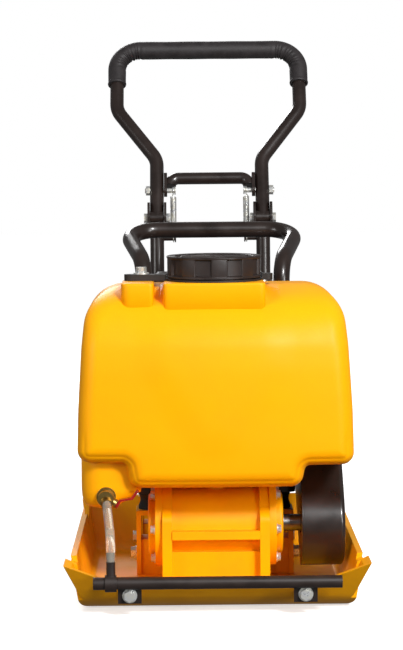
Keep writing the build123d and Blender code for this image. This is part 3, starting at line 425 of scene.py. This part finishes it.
def rounded_loop(corners, count):
    """Closed line through (u, v, radius) corners with arcs at them, at count even steps."""
    corner = np.array(corners, float)
    here = corner[:, :2]
    back = np.roll(here, 1, axis=0) - here
    ahead = np.roll(here, -1, axis=0) - here
    back /= np.linalg.norm(back, axis=1, keepdims=True)
    ahead /= np.linalg.norm(ahead, axis=1, keepdims=True)
    half = np.arccos(np.clip((back * ahead).sum(axis=1), -1, 1)) / 2
    reach = corner[:, 2] / np.tan(half)
    middle = back + ahead
    middle /= np.linalg.norm(middle, axis=1, keepdims=True)
    centre = here + middle * (corner[:, 2] / np.sin(half))[:, None]
    start = here + back * reach[:, None] - centre
    end = here + ahead * reach[:, None] - centre
    first = np.arctan2(start[:, 1], start[:, 0])
    sweep = (np.arctan2(end[:, 1], end[:, 0]) - first + np.pi) % (2 * np.pi) - np.pi
    step = np.linspace(0, 1, 13)
    angle = first[:, None] + sweep[:, None] * step
    spoke = np.stack([np.cos(angle), np.sin(angle)], -1)
    line = (centre[:, None] + corner[:, 2][:, None, None] * spoke).reshape(-1, 2)
    line = np.vstack([line, line[:1]])
    run = np.concatenate([[0], np.cumsum(np.linalg.norm(np.diff(line, axis=0), axis=1))])
    at = np.linspace(0, run[-1], count, endpoint=False)
    return np.stack([np.interp(at, run, line[:, 0]), np.interp(at, run, line[:, 1])], axis=-1)


def distance_to(points, loop):
    """Shortest distance from each (N, 2) point to a closed line of short straight pieces."""
    start, end = loop, np.roll(loop, -1, axis=0)
    along = end - start
    share = ((points[:, None] - start) * along).sum(-1) / (along * along).sum(-1)
    nearest = start + np.clip(share, 0, 1)[..., None] * along
    return np.linalg.norm(points[:, None] - nearest, axis=-1).min(axis=1)


def inside(points, loop):
    """True where a point lies within a closed line, by counting crossings."""
    start, end = loop, np.roll(loop, -1, axis=0)
    x, y = points[:, 0][:, None], points[:, 1][:, None]
    spans = (start[:, 1] > y) != (end[:, 1] > y)
    rise = np.where(end[:, 1] == start[:, 1], 1e-12, end[:, 1] - start[:, 1])
    cut = start[:, 0] + (y - start[:, 1]) * (end[:, 0] - start[:, 0]) / rise
    return ((cut > x) & spans).sum(axis=1) % 2 == 1


# --- shapes and places, in millimetres -----------------------------------
# Front outline of the tank in (X, Z) with corner radii.
TANK_OUTLINE = [
    (-176, 441, 56), (-184.5, 360, 120), (-190, 270, 200), (-192, 200, 17), (-124, 200, 8),
    (-118, 164, 18), (118, 164, 18), (124, 194, 8), (192, 194, 17), (190, 270, 200),
    (184.5, 360, 120), (176, 441, 56),
]
# Raised shield on the tank's front in (X, Z) with corner radii.
SHIELD_OUTLINE = [
    (-92, 440, 12), (92, 440, 12), (94, 336, 40), (26, 224, 26), (-26, 224, 26), (-94, 336, 40),
]
# The tank's front line in (Y, Z), seen from the side.
TANK_FRONT = np.array(
    [
        [-214, 160], [-219, 185], [-221.5, 220], [-222, 290], [-221, 330], [-217, 365],
        [-207, 395], [-191, 418], [-165, 435], [-138, 444], [-120, 447], [-110, 460],
    ],
    float,
)
TANK_BACK, TANK_BACK_EDGE = -50, 12
TANK_HALF_WIDTH = 194
# How far the front swells past its side line, and how far that line stands behind the front.
FRONT_SWELL, FRONT_SETBACK = 10, 6
# Depth of the hollows beside the neck, and the mould line's height, width and way in from the edge.
SLOT_DEPTH, DIP_DEPTH = 16, 9
LINE_HEIGHT, LINE_WIDTH, LINE_INSET = 1.1, 2.2, 10.5
# How far the lobe's bottom rises from its outer to its inner side.
LOBE_RISE = 18
# Outlines of the side lobe, the neck and the boss in (X, Y) with corner radii.
LOBE_OUTLINE = [(-188, -188, 30), (-188, -64, 20), (-104, -64, 20), (-104, -188, 16)]
NECK_OUTLINE = [(-70.5, -193, 7), (70.5, -193, 7), (70.5, -54, 22), (-70.5, -54, 22)]
BOSS_OUTLINE = [(-129, -188, 13), (-84, -188, 6), (-84, -94, 14), (-129, -94, 14)]
BLOCK_BOTTOM, NECK_SEAT = 390, 447
NECK_Y = -120
# The cap's half section in (radius, height); its side is the rows from PAD_ROWS.
CAP_PROFILE = np.array(
    [
        [60.2, 473.2], [60.2, 450.9], [65.4, 450.7], [66.2, 451.4], [66.2, 453.8],
        [65.6, 454.6], [65.2, 455.5], [65.2, 477.2], [65.6, 478.2], [66.2, 479.0],
        [66.2, 480.8], [65.2, 481.9], [63.6, 482.0], [56.0, 481.4], [54.6, 480.2],
        [54.2, 474.9], [30.0, 474.6], [3.0, 474.6],
    ]
)
PAD_ROWS = (6, 7)
CAP_BAR = [(-47, -5, 3), (47, -5, 3), (47, 5, 3), (-47, 5, 3)]
# The folding handle: its hinge axis in (Y, Z), its lean, and its frame above the axis.
HINGE_Y, HINGE_Z = 290, 520
HANDLE_LEAN = math.radians(31)
HANDLE_REACH, HANDLE_FLARE, HANDLE_BEND = 315.0, 148.5, 38.0
GRIP_LOW, GRIP_RADIUS, GRIP_BORE = 248.5, 14.5, 11.15
# The springs: their X, the height of the lower pin and the reach of the upper pin.
SPRING_X, SPRING_LOW_Z, SPRING_REACH = 58, 488, 50
COIL_RADIUS, EYE_RADIUS, COIL_START = 4.1, 5.6, 11.2
# Hose: valve centre, the corner of its route and the mouth of the tee.
VALVE = np.array([-152.5, -199, 151])
HOSE_CORNER = np.array([-144, -290, 112])
TEE_MOUTH = np.array([-144, -290, 79])
VALVE_SPIGOT, HOSE_RADIUS = 17, 6.25

# The stage, in metres: name, place, aim, width and power of each light.
STUDIO_LIGHTS = [
    ("key_softbox", (1.5, -3.2, 2.3), (0, -0.1, 0.35), 0.7, 150.0),
    ("side_softbox", (2.3, -2.7, 0.8), (0, -0.1, 0.3), 0.8, 26.0),
    ("fill_softbox", (-2.6, -2.4, 1.2), (0, 0, 0.4), 1.2, 26.0),
    ("rear_softbox", (-0.8, 3.0, 2.0), (0, 0, 0.4), 1.2, 40.0),
]
FLOOR_HALF = 12.0
ROOM_GLOSS = 0.16
CAMERA_PLACE = (-0.040, -3.305, 0.6475)
CAMERA_TURN, CAMERA_TILT, CAMERA_ROLL = -0.40, 90 - 4.74, -0.5
CAMERA_LENS = 125.5


# --- sizes a user would change -------------------------------------------
class CompactorLook(bpy.types.PropertyGroup):
    """Colours of the compactor."""

    tank_colour: bpy.props.StringProperty(
        name="Tank", description="Tank plastic, sRGB hex", default="#ffad00"
    )
    tank_shade: bpy.props.StringProperty(
        name="Tank patches", description="Deeper tank colour, sRGB hex", default="#ffa800"
    )
    casting_colour: bpy.props.StringProperty(
        name="Castings",
        description="Enamel on the plate and exciter, sRGB hex",
        default="#ffb000",
    )
    casting_shade: bpy.props.StringProperty(
        name="Casting patches", description="Deeper enamel colour, sRGB hex", default="#f5a400"
    )
    tube_colour: bpy.props.StringProperty(
        name="Tubes", description="Powder coat on the tubes, sRGB hex", default="#1c1411"
    )
    lever_colour: bpy.props.StringProperty(
        name="Lever", description="Valve lever sleeve, sRGB hex", default="#b01012"
    )


class CompactorSizes(bpy.types.PropertyGroup):
    """Sizes of the surfaces that aren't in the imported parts, in metres."""

    tank_edge: bpy.props.FloatProperty(
        name="Tank edge",
        description="Rounding of the tank's front edge",
        default=0.024,
        unit="LENGTH",
    )
    shield_rise: bpy.props.FloatProperty(
        name="Shield rise",
        description="How far the shield stands out",
        default=0.003,
        unit="LENGTH",
    )
    cap_pads: bpy.props.IntProperty(
        name="Cap pads", description="Raised pads round the cap", default=9, min=4
    )
    cap_pad_depth: bpy.props.FloatProperty(
        name="Pad depth",
        description="Depth between the cap's pads",
        default=0.003,
        unit="LENGTH",
    )
    wire: bpy.props.FloatProperty(
        name="Spring wire",
        description="Radius of the spring wire",
        default=0.0009,
        unit="LENGTH",
    )
    coil_pitch: bpy.props.FloatProperty(
        name="Coil pitch", description="Step from turn to turn", default=0.0022, unit="LENGTH"
    )


def settings():
    """The scene's colours and sizes."""
    scene = bpy.context.scene
    return scene.compactor_look, scene.compactor_sizes


def finish_for(slot):
    """The material made for one of the record's slots."""
    return bpy.data.materials[bpy.context.scene["compactor_finishes"][slot]]


def studio_sky(tree):
    """White backdrop that lights softly from above, weakly from below, and reflects dimly."""
    background = tree.nodes["Background"]
    place = add_node(tree, "ShaderNodeTexCoord").outputs["Generated"]
    height = add_node(tree, "ShaderNodeSeparateXYZ", Vector=place).outputs["Z"]
    light = add_node(
        tree,
        "ShaderNodeMapRange",
        {"From Min": -0.15, "From Max": 0.25, "To Min": 0.10, "To Max": 0.5},
        Value=height,
    ).outputs["Result"]
    path = add_node(tree, "ShaderNodeLightPath")
    gloss = add_node(
        tree,
        "ShaderNodeMix",
        {"data_type": "FLOAT", 3: ROOM_GLOSS},
        s0=path.outputs["Is Glossy Ray"],
        s2=light,
    ).outputs[0]
    seen = add_node(
        tree,
        "ShaderNodeMix",
        {"data_type": "FLOAT", 3: 1.0},
        s0=path.outputs["Is Camera Ray"],
        s2=gloss,
    ).outputs[0]
    background.inputs["Color"].default_value = linear("#ffffff")
    tree.links.new(seen, background.inputs["Strength"])


# --- shapes --------------------------------------------------------------
def tank_front_depth(flat, gap, sizes):
    """Y of the tank's front at (x, z) points with a given gap to its outline.

    The side line, smoothed, less a swelling that falls with x squared and a shield that rises by a
    smooth step across its outline, plus a quarter round at the edge, a fine line beside it where
    the two mould halves meet, and hollows in the shoulder on both sides of the neck.
    """
    across, level = flat.T
    heights = np.linspace(0.100, 0.520, 421)
    window = np.hanning(47)
    side_line = np.interp(heights, TANK_FRONT[:, 1] * MM, TANK_FRONT[:, 0] * MM)
    padded = np.pad(side_line, len(window) // 2, mode="edge")
    front = np.interp(level, heights, np.convolve(padded, window / window.sum(), mode="valid"))
    fall = 1 - np.clip(across / (TANK_HALF_WIDTH * MM), -1, 1) ** 2
    swelling = FRONT_SWELL * MM * fall * smooth_step(-level, -0.44, -0.36)
    edge = sizes.tank_edge
    rounding = edge - np.sqrt(np.clip(edge**2 - (edge - np.clip(gap, 0, edge)) ** 2, 0, None))
    shield = rounded_loop(SHIELD_OUTLINE, 200) * MM
    within = distance_to(flat, shield) * np.where(inside(flat, shield), 1, -1)
    rise = sizes.shield_rise * smooth_step(within, -0.022, 0.030)
    rise = rise * smooth_step(-level, -0.428, -0.385)
    away = (gap - LINE_INSET * MM) / (LINE_WIDTH * MM)
    mould_line = LINE_HEIGHT * MM * np.exp(-(away**2)) * smooth_step(-level, -0.25, -0.225)
    slot = smooth_step(across, -0.088, -0.084) * (1 - smooth_step(across, -0.074, -0.070))
    dip = smooth_step(across, 0.066, 0.072) * (1 - smooth_step(across, 0.074, 0.094))
    hollows = smooth_step(level, 0.414, 0.432) * (SLOT_DEPTH * slot + DIP_DEPTH * dip) * MM
    return front - swelling + FRONT_SETBACK * MM - rise + rounding + mould_line + hollows


def tank_shell(sizes):
    """Closed shell: the outline shrunk towards its middle over the front and the back."""
    loop = rounded_loop(TANK_OUTLINE, 600) * MM
    middle = np.array([0.0, 0.300])
    # The shrinking is slow near the edge, so the rings are close-set there.
    share = 1 - np.linspace(0, 1, 60)[:-1] ** 2.2
    ring = middle + (loop - middle)[None] * share[:, None, None]
    flat = ring.reshape(-1, 2)
    y = tank_front_depth(flat, distance_to(flat, loop), sizes)
    face = np.stack([flat[:, 0], y, flat[:, 1]], axis=-1).reshape(*ring.shape[:2], 3)
    edge = TANK_BACK_EDGE * MM
    back_share = 1 - np.linspace(0, 1, 12) * 0.12
    back_ring = middle + (loop - middle)[None] * back_share[:, None, None]
    flat = back_ring.reshape(-1, 2)
    gap = np.clip(distance_to(flat, loop), 0, edge)
    y = TANK_BACK * MM - (edge - np.sqrt(edge**2 - (edge - gap) ** 2))
    back = np.stack([flat[:, 0], y, flat[:, 1]], axis=-1).reshape(*back_ring.shape[:2], 3)
    walls = np.linspace(0, 1, 8)[1:-1][:, None, None]
    side = face[0][None] * walls + back[0][None] * (1 - walls)
    return grid_surface(np.concatenate([back[::-1], side, face]))


def tank_lobe():
    """Side lobe: its outline stacked in height, drawn in below, its bottom sloping up inwards."""
    loop = rounded_loop(LOBE_OUTLINE, 120)
    height = np.array([133, 133.6, 136, 141, 149, 160, 190, 232])
    inset = np.array([22, 14, 7.5, 3.2, 1.0, 0.0, 0.0, 0.0])
    lobe = stacked(loop, loop.mean(axis=0), inset, height) * MM
    slope = smooth_step(lobe[..., 0], -0.150, -0.104) * LOBE_RISE * MM
    lobe[..., 2] += slope * smooth_step(-lobe[..., 2], -0.16, -0.133)
    return grid_surface(lobe[::-1])


def on_handle(across, reach):
    """Points in the handle's leaning plane, in millimetres: across it, and up from the hinge."""
    y = HINGE_Y + reach * math.sin(HANDLE_LEAN)
    return np.stack([across, y, HINGE_Z + reach * math.cos(HANDLE_LEAN)], -1)


def grip_line():
    """Centre of the grip as (across, reach): a leg, a quarter bend, the top, and their mirror."""
    turn = np.linspace(0, np.pi / 2, 90)
    inner = HANDLE_FLARE - HANDLE_BEND
    leg_reach = np.linspace(GRIP_LOW, HANDLE_REACH - HANDLE_BEND, 60)
    leg = np.stack([np.full(60, HANDLE_FLARE), leg_reach], -1)
    bend_across = inner + HANDLE_BEND * np.cos(turn)
    bend_reach = HANDLE_REACH - HANDLE_BEND + HANDLE_BEND * np.sin(turn)
    half = np.vstack([leg[:-1], np.stack([bend_across, bend_reach], -1)])
    top = np.stack([np.linspace(inner, -inner, 160), np.full(160, HANDLE_REACH)], -1)
    return np.vstack([half[:-1], top, (half * [-1, 1])[::-1][1:]])


def cubic_between(begin, end, first_way, last_way):
    """Cubic from begin to end that leaves and arrives along the given ways."""
    step = np.linspace(0, 1, 14)[1:-1][:, None]
    pull = np.linalg.norm(end - begin) * 0.9
    h00, h10 = 2 * step**3 - 3 * step**2 + 1, step**3 - 2 * step**2 + step
    h01, h11 = -2 * step**3 + 3 * step**2, step**3 - step**2
    return begin * h00 + first_way * pull * h10 + end * h01 + last_way * pull * h11


def unit(vector):
    """The vector at length one."""
    return vector / np.linalg.norm(vector)


def hose_route():
    """Straight run from the valve, an arc inside the corner, and a drop to the tee, in metres."""
    corner, end = HOSE_CORNER * MM, TEE_MOUTH * MM
    out = unit(HOSE_CORNER - VALVE)
    start = (VALVE + out * VALVE_SPIGOT) * MM
    down = np.array([0, 0, -1.0])
    turn = math.acos(float(out @ down))
    cut = 0.45 * float(corner[2] - end[2])
    bend = cut / math.tan(turn / 2)
    arc_start, arc_end = corner - out * cut, corner + down * cut
    inward = unit(down - out * float(out @ down))
    hub = arc_start + inward * bend
    angle = np.linspace(0, turn, 9)[:, None]
    arc = hub + bend * (out * np.sin(angle) - inward * np.cos(angle))
    run = start + (arc_start - start) * np.linspace(0, 1, 8)[:, None]
    drop = arc_end + (end - arc_end) * np.linspace(0, 1, 5)[:, None]
    return np.vstack([run[:-1], arc, drop[1:]])


# --- operators -----------------------------------------------------------
class COMPACTOR_OT_finishes(bpy.types.Operator):
    """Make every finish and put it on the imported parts."""

    bl_idname = "compactor.finishes"
    bl_label = "Finishes"

    def execute(self, context):
        look, _ = settings()
        made = make_finishes(look)
        context.scene["compactor_finishes"] = {slot: made[slot].name for slot in made}
        for part in frame["record"]["subparts"]:
            mesh = frame["nodes"][part["node"]].data
            mesh.materials.clear()
            mesh.materials.append(made[part["material_slot"]])
        return {"FINISHED"}


class COMPACTOR_OT_water_tank(bpy.types.Operator):
    """Blow-moulded tank: swelling front, side lobe, neck and boss blocks, and the inlet."""

    bl_idname = "compactor.water_tank"
    bl_label = "Water tank"

    def execute(self, context):
        _, sizes = settings()
        inlet = carried(
            np.array([[-152.5, y, 151.0] for y in (-170, -184, -187, -188)]) * MM,
            np.tile([1.0, 0, 0], (4, 1)),
            np.array([17, 16, 14.6, 13.5]) * MM,
            40,
        )
        surface = join(
            tank_shell(sizes),
            tank_lobe(),
            standing_block(NECK_OUTLINE, BLOCK_BOTTOM, NECK_SEAT),
            standing_block(BOSS_OUTLINE, BLOCK_BOTTOM, NECK_SEAT),
            grid_surface(inlet[::-1]),
        )
        make_piece("water_tank_shell", surface, "machine", "yellow_plastic", ["water_tank"])
        return {"FINISHED"}


class COMPACTOR_OT_tank_cap(bpy.types.Operator):
    """Screw cap: a turned profile whose side steps in between raised pads, with a bar on top."""

    bl_idname = "compactor.tank_cap"
    bl_label = "Tank cap"

    def execute(self, context):
        _, sizes = settings()
        pads, depth = sizes.cap_pads, sizes.cap_pad_depth

        def swell(turn, row):
            """Change of radius: 0.6 mm out on a pad and the pad depth in between two."""
            wave = np.cos(pads * turn + 0.6)
            pad = smooth_step(wave, -0.12, 0.12)
            side = (row >= PAD_ROWS[0]) & (row <= PAD_ROWS[1])
            return np.where(side, -depth * (1 - pad) + 0.6 * MM * pad, 0.0)

        cap = revolved(CAP_PROFILE * MM, (0, NECK_Y * MM), 540, swell)
        inset = np.array([0.0, 0.0, 0.5, 1.4])
        height = np.array([474.0, 480.2, 480.9, 481.3])
        bar = stacked(rounded_loop(CAP_BAR, 80), np.zeros(2), inset, height)
        bar = (bar + np.array([0, NECK_Y, 0])) * MM
        surface = join(grid_surface(cap), grid_surface(bar))
        piece = make_piece("cap_ribbed", surface, "cap", "black_plastic", ["tank_cap"])
        piece.data.set_sharp_from_angle(angle=math.radians(32))
        return {"FINISHED"}


class COMPACTOR_OT_foam_grip(bpy.types.Operator):
    """Foam sleeve carried round the handle's top, gathered into folds inside each bend."""

    bl_idname = "compactor.foam_grip"
    bl_label = "Foam grip"

    def execute(self, context):
        line = grip_line()
        centre = on_handle(line[:, 0], line[:, 1])
        step = np.linalg.norm(np.diff(centre, axis=0), axis=1)
        along = np.concatenate([[0], np.cumsum(step)])
        normal = [0.0, math.cos(HANDLE_LEAN), -math.sin(HANDLE_LEAN)]
        rings = carried(centre, np.tile(normal, (len(centre), 1)), 1.0, 48)
        way = rings - centre[:, None]
        inward = on_handle(0.0, 240.0) - centre
        inward /= np.linalg.norm(inward, axis=1, keepdims=True)
        facing = np.clip((way * inward[:, None]).sum(-1), -1, 1)
        # Folds run through each bend and fade a little way beyond it.
        near = np.minimum(along, along[-1] - along)
        leg = HANDLE_REACH - HANDLE_BEND - GRIP_LOW
        bent = smooth_step(near, leg - 4, leg + 8) * (1 - smooth_step(near, leg + 54, leg + 72))
        fold = np.cos(2 * np.pi * near / 6.6 + 1.3 * np.sin(near * 0.31)) * bent
        lip = 0.7 * np.exp(-(((near - 2.2) / 1.8) ** 2))
        radius = (
            GRIP_RADIUS
            + lip[:, None]
            + 0.95 * fold[:, None] * smooth_step(facing, -0.35, 0.8)
            - 0.9 * bent[:, None] * smooth_step(facing, 0.0, 1.0)
            + 0.12 * np.sin(along * 0.09)[:, None]
        )
        end_radii = np.array([11.4, 13.4])[:, None, None]
        first = centre[0] + way[0] * end_radii
        last = centre[-1] + way[-1] * end_radii[::-1]
        outer = np.concatenate([first, centre[:, None] + way * radius[..., None], last])
        bore = (centre[:, None] + way * GRIP_BORE)[::-1][::12]
        surface = grid_surface(np.concatenate([outer, bore]) * MM, ends="loop")
        piece = make_piece("foam_sleeve", surface, "handle", "foam", ["handle_grip"])
        return {"FINISHED"}


class COMPACTOR_OT_handle_springs(bpy.types.Operator):
    """Two extension springs: a helix of round wire that ends in a hook at each pin."""

    bl_idname = "compactor.handle_springs"
    bl_label = "Handle springs"

    def execute(self, context):
        _, sizes = settings()
        low = np.array([SPRING_X, HINGE_Y, SPRING_LOW_Z]) * MM
        high = on_handle(SPRING_X, SPRING_REACH) * MM
        length = np.linalg.norm(high - low)
        way = unit(high - low)
        side = np.array([1.0, 0, 0])
        deep = np.cross(way, side)
        start = COIL_START * MM
        turns = round((length - 2 * start) / sizes.coil_pitch)
        turn = np.linspace(0, 2 * np.pi * turns, turns * 28)[:, None]
        rise = np.linspace(start, length - start, len(turn))[:, None]
        coil = low + way * rise + COIL_RADIUS * MM * (np.cos(turn) * side + np.sin(turn) * deep)
        # A hook: three quarters of a ring about the pin, then a bend out to the coil.
        ring = np.linspace(-0.15 * np.pi, 1.5 * np.pi, 40)[:, None]
        hook = EYE_RADIUS * MM * (np.cos(ring) * way + np.sin(ring) * deep)
        bottom, top = low + hook[::-1], high - hook
        first = cubic_between(
            bottom[-1], coil[0], unit(bottom[-1] - bottom[-2]), unit(coil[1] - coil[0])
        )
        last = cubic_between(coil[-1], top[0], unit(coil[-1] - coil[-2]), unit(top[1] - top[0]))
        path = np.vstack([bottom, first, coil, last, top])
        across = np.cross(np.gradient(path, axis=0), way + 0.3 * side)
        points, faces = grid_surface(carried(path, across, sizes.wire, 10))
        mirrored = points * [-1, 1, 1], [face[::-1] for face in faces]
        surface = join((points, faces), mirrored)
        piece = make_piece("spring_coils", surface, "springs", "zinc_steel", ["handle_springs"])
        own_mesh(piece)
        return {"FINISHED"}


class COMPACTOR_OT_water_hose(bpy.types.Operator):
    """Clear hose from the valve down to the sprinkler tee, on a smooth curve."""

    bl_idname = "compactor.water_hose"
    bl_label = "Water hose"

    def execute(self, context):
        route = hose_route()
        curve = bpy.data.curves.new("clear_hose", "CURVE")
        curve.dimensions = "3D"
        curve.resolution_u = 8
        curve.bevel_depth = HOSE_RADIUS * MM
        curve.bevel_resolution = 8
        curve.use_fill_caps = True
        line = curve.splines.new("NURBS")
        line.points.add(len(route) - 1)
        line.points.foreach_set("co", np.hstack([route, np.ones((len(route), 1))]).ravel())
        line.order_u = 3
        line.use_endpoint_u = True
        curve.materials.append(finish_for("clear_pvc"))
        hose = bpy.data.objects.new("clear_hose", curve)
        context.scene.collection.objects.link(hose)
        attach(hose, "machine")
        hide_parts("water_hose")
        return {"FINISHED"}


def make_floor():
    """Flat square floor that lights nothing and shows in no reflection."""
    # Matt painted floor: pale, with a very faint roller texture.
    finish = coated(
        "matt_painted_floor",
        {"Roughness": 0.9, "Emission Color": linear("#ffffff"), "Emission Strength": 0.55},
        ("#f6f6f6", "#ffffff"),
        300.0,
        ((4.0, 0.02),),
    )
    corners = np.array([[-1, -1, 0], [1, -1, 0], [1, 1, 0], [-1, 1, 0]]) * FLOOR_HALF
    mesh = bpy.data.meshes.new("studio_floor")
    mesh.from_pydata(corners.tolist(), [], [(0, 1, 2, 3)])
    mesh.materials.append(finish)
    floor = bpy.data.objects.new("studio_floor", mesh)
    floor.visible_diffuse = False
    floor.visible_glossy = False
    return floor


def make_lamp(name, spot, aim, width, power):
    """Round area light at a spot, facing an aim."""
    light = bpy.data.lights.new(name, "AREA")
    light.shape = "DISK"
    light.size = width
    light.energy = power
    lamp = bpy.data.objects.new(name, light)
    back = unit(np.array(spot) - np.array(aim))
    right = unit(np.cross([0, 0, 1.0], back))
    place = np.eye(4)
    place[:3] = np.stack([right, np.cross(back, right), back, spot], axis=-1)
    lamp.matrix_world = Matrix(place.tolist())
    return lamp


def make_camera():
    """Camera in front of the machine, looking slightly down."""
    lens = bpy.data.cameras.new("camera")
    lens.lens = CAMERA_LENS
    lens.sensor_width = 36.0
    lens.clip_end = 60.0
    camera = bpy.data.objects.new("camera", lens)
    camera.matrix_world = (
        Matrix.Translation(CAMERA_PLACE)
        @ Matrix.Rotation(math.radians(CAMERA_TURN), 4, "Z")
        @ Matrix.Rotation(math.radians(CAMERA_TILT), 4, "X")
        @ Matrix.Rotation(math.radians(CAMERA_ROLL), 4, "Z")
    )
    return camera


class COMPACTOR_OT_stage(bpy.types.Operator):
    """Pale floor, white sky, soft studio lights and the camera."""

    bl_idname = "compactor.stage"
    bl_label = "Stage"

    def execute(self, context):
        scene = context.scene
        world = bpy.data.worlds.new("studio_white")
        world.use_nodes = True
        studio_sky(world.node_tree)
        scene.world = world
        camera = make_camera()
        staged = [make_floor(), camera, *(make_lamp(*lamp) for lamp in STUDIO_LIGHTS)]
        for item in staged:
            scene.collection.objects.link(item)
        scene.camera = camera
        scene.view_settings.view_transform = "Standard"
        return {"FINISHED"}


class COMPACTOR_PT_panel(bpy.types.Panel):
    """Sizes, colours and the steps that build the compactor."""

    bl_idname = "COMPACTOR_PT_panel"
    bl_label = "Plate Compactor"
    bl_space_type = "VIEW_3D"
    bl_region_type = "UI"
    bl_category = "Compactor"

    def draw(self, context):
        for group in settings():
            for name in group.__annotations__:
                self.layout.prop(group, name)
        for step in STEPS:
            self.layout.operator(step.bl_idname)


STEPS = (
    COMPACTOR_OT_finishes,
    COMPACTOR_OT_water_tank,
    COMPACTOR_OT_tank_cap,
    COMPACTOR_OT_foam_grip,
    COMPACTOR_OT_handle_springs,
    COMPACTOR_OT_water_hose,
    COMPACTOR_OT_stage,
)
CLASSES = (CompactorLook, CompactorSizes, *STEPS, COMPACTOR_PT_panel)


def register():
    for kind in CLASSES:
        bpy.utils.register_class(kind)
    bpy.types.Scene.compactor_look = bpy.props.PointerProperty(type=CompactorLook)
    bpy.types.Scene.compactor_sizes = bpy.props.PointerProperty(type=CompactorSizes)


def unregister():
    del bpy.types.Scene.compactor_sizes
    del bpy.types.Scene.compactor_look
    for kind in reversed(CLASSES):
        bpy.utils.unregister_class(kind)


def main():
    register()
    for step in STEPS:
        group, name = step.bl_idname.split(".")
        getattr(getattr(bpy.ops, group), name)()


if __name__ == "__main__":
    main()
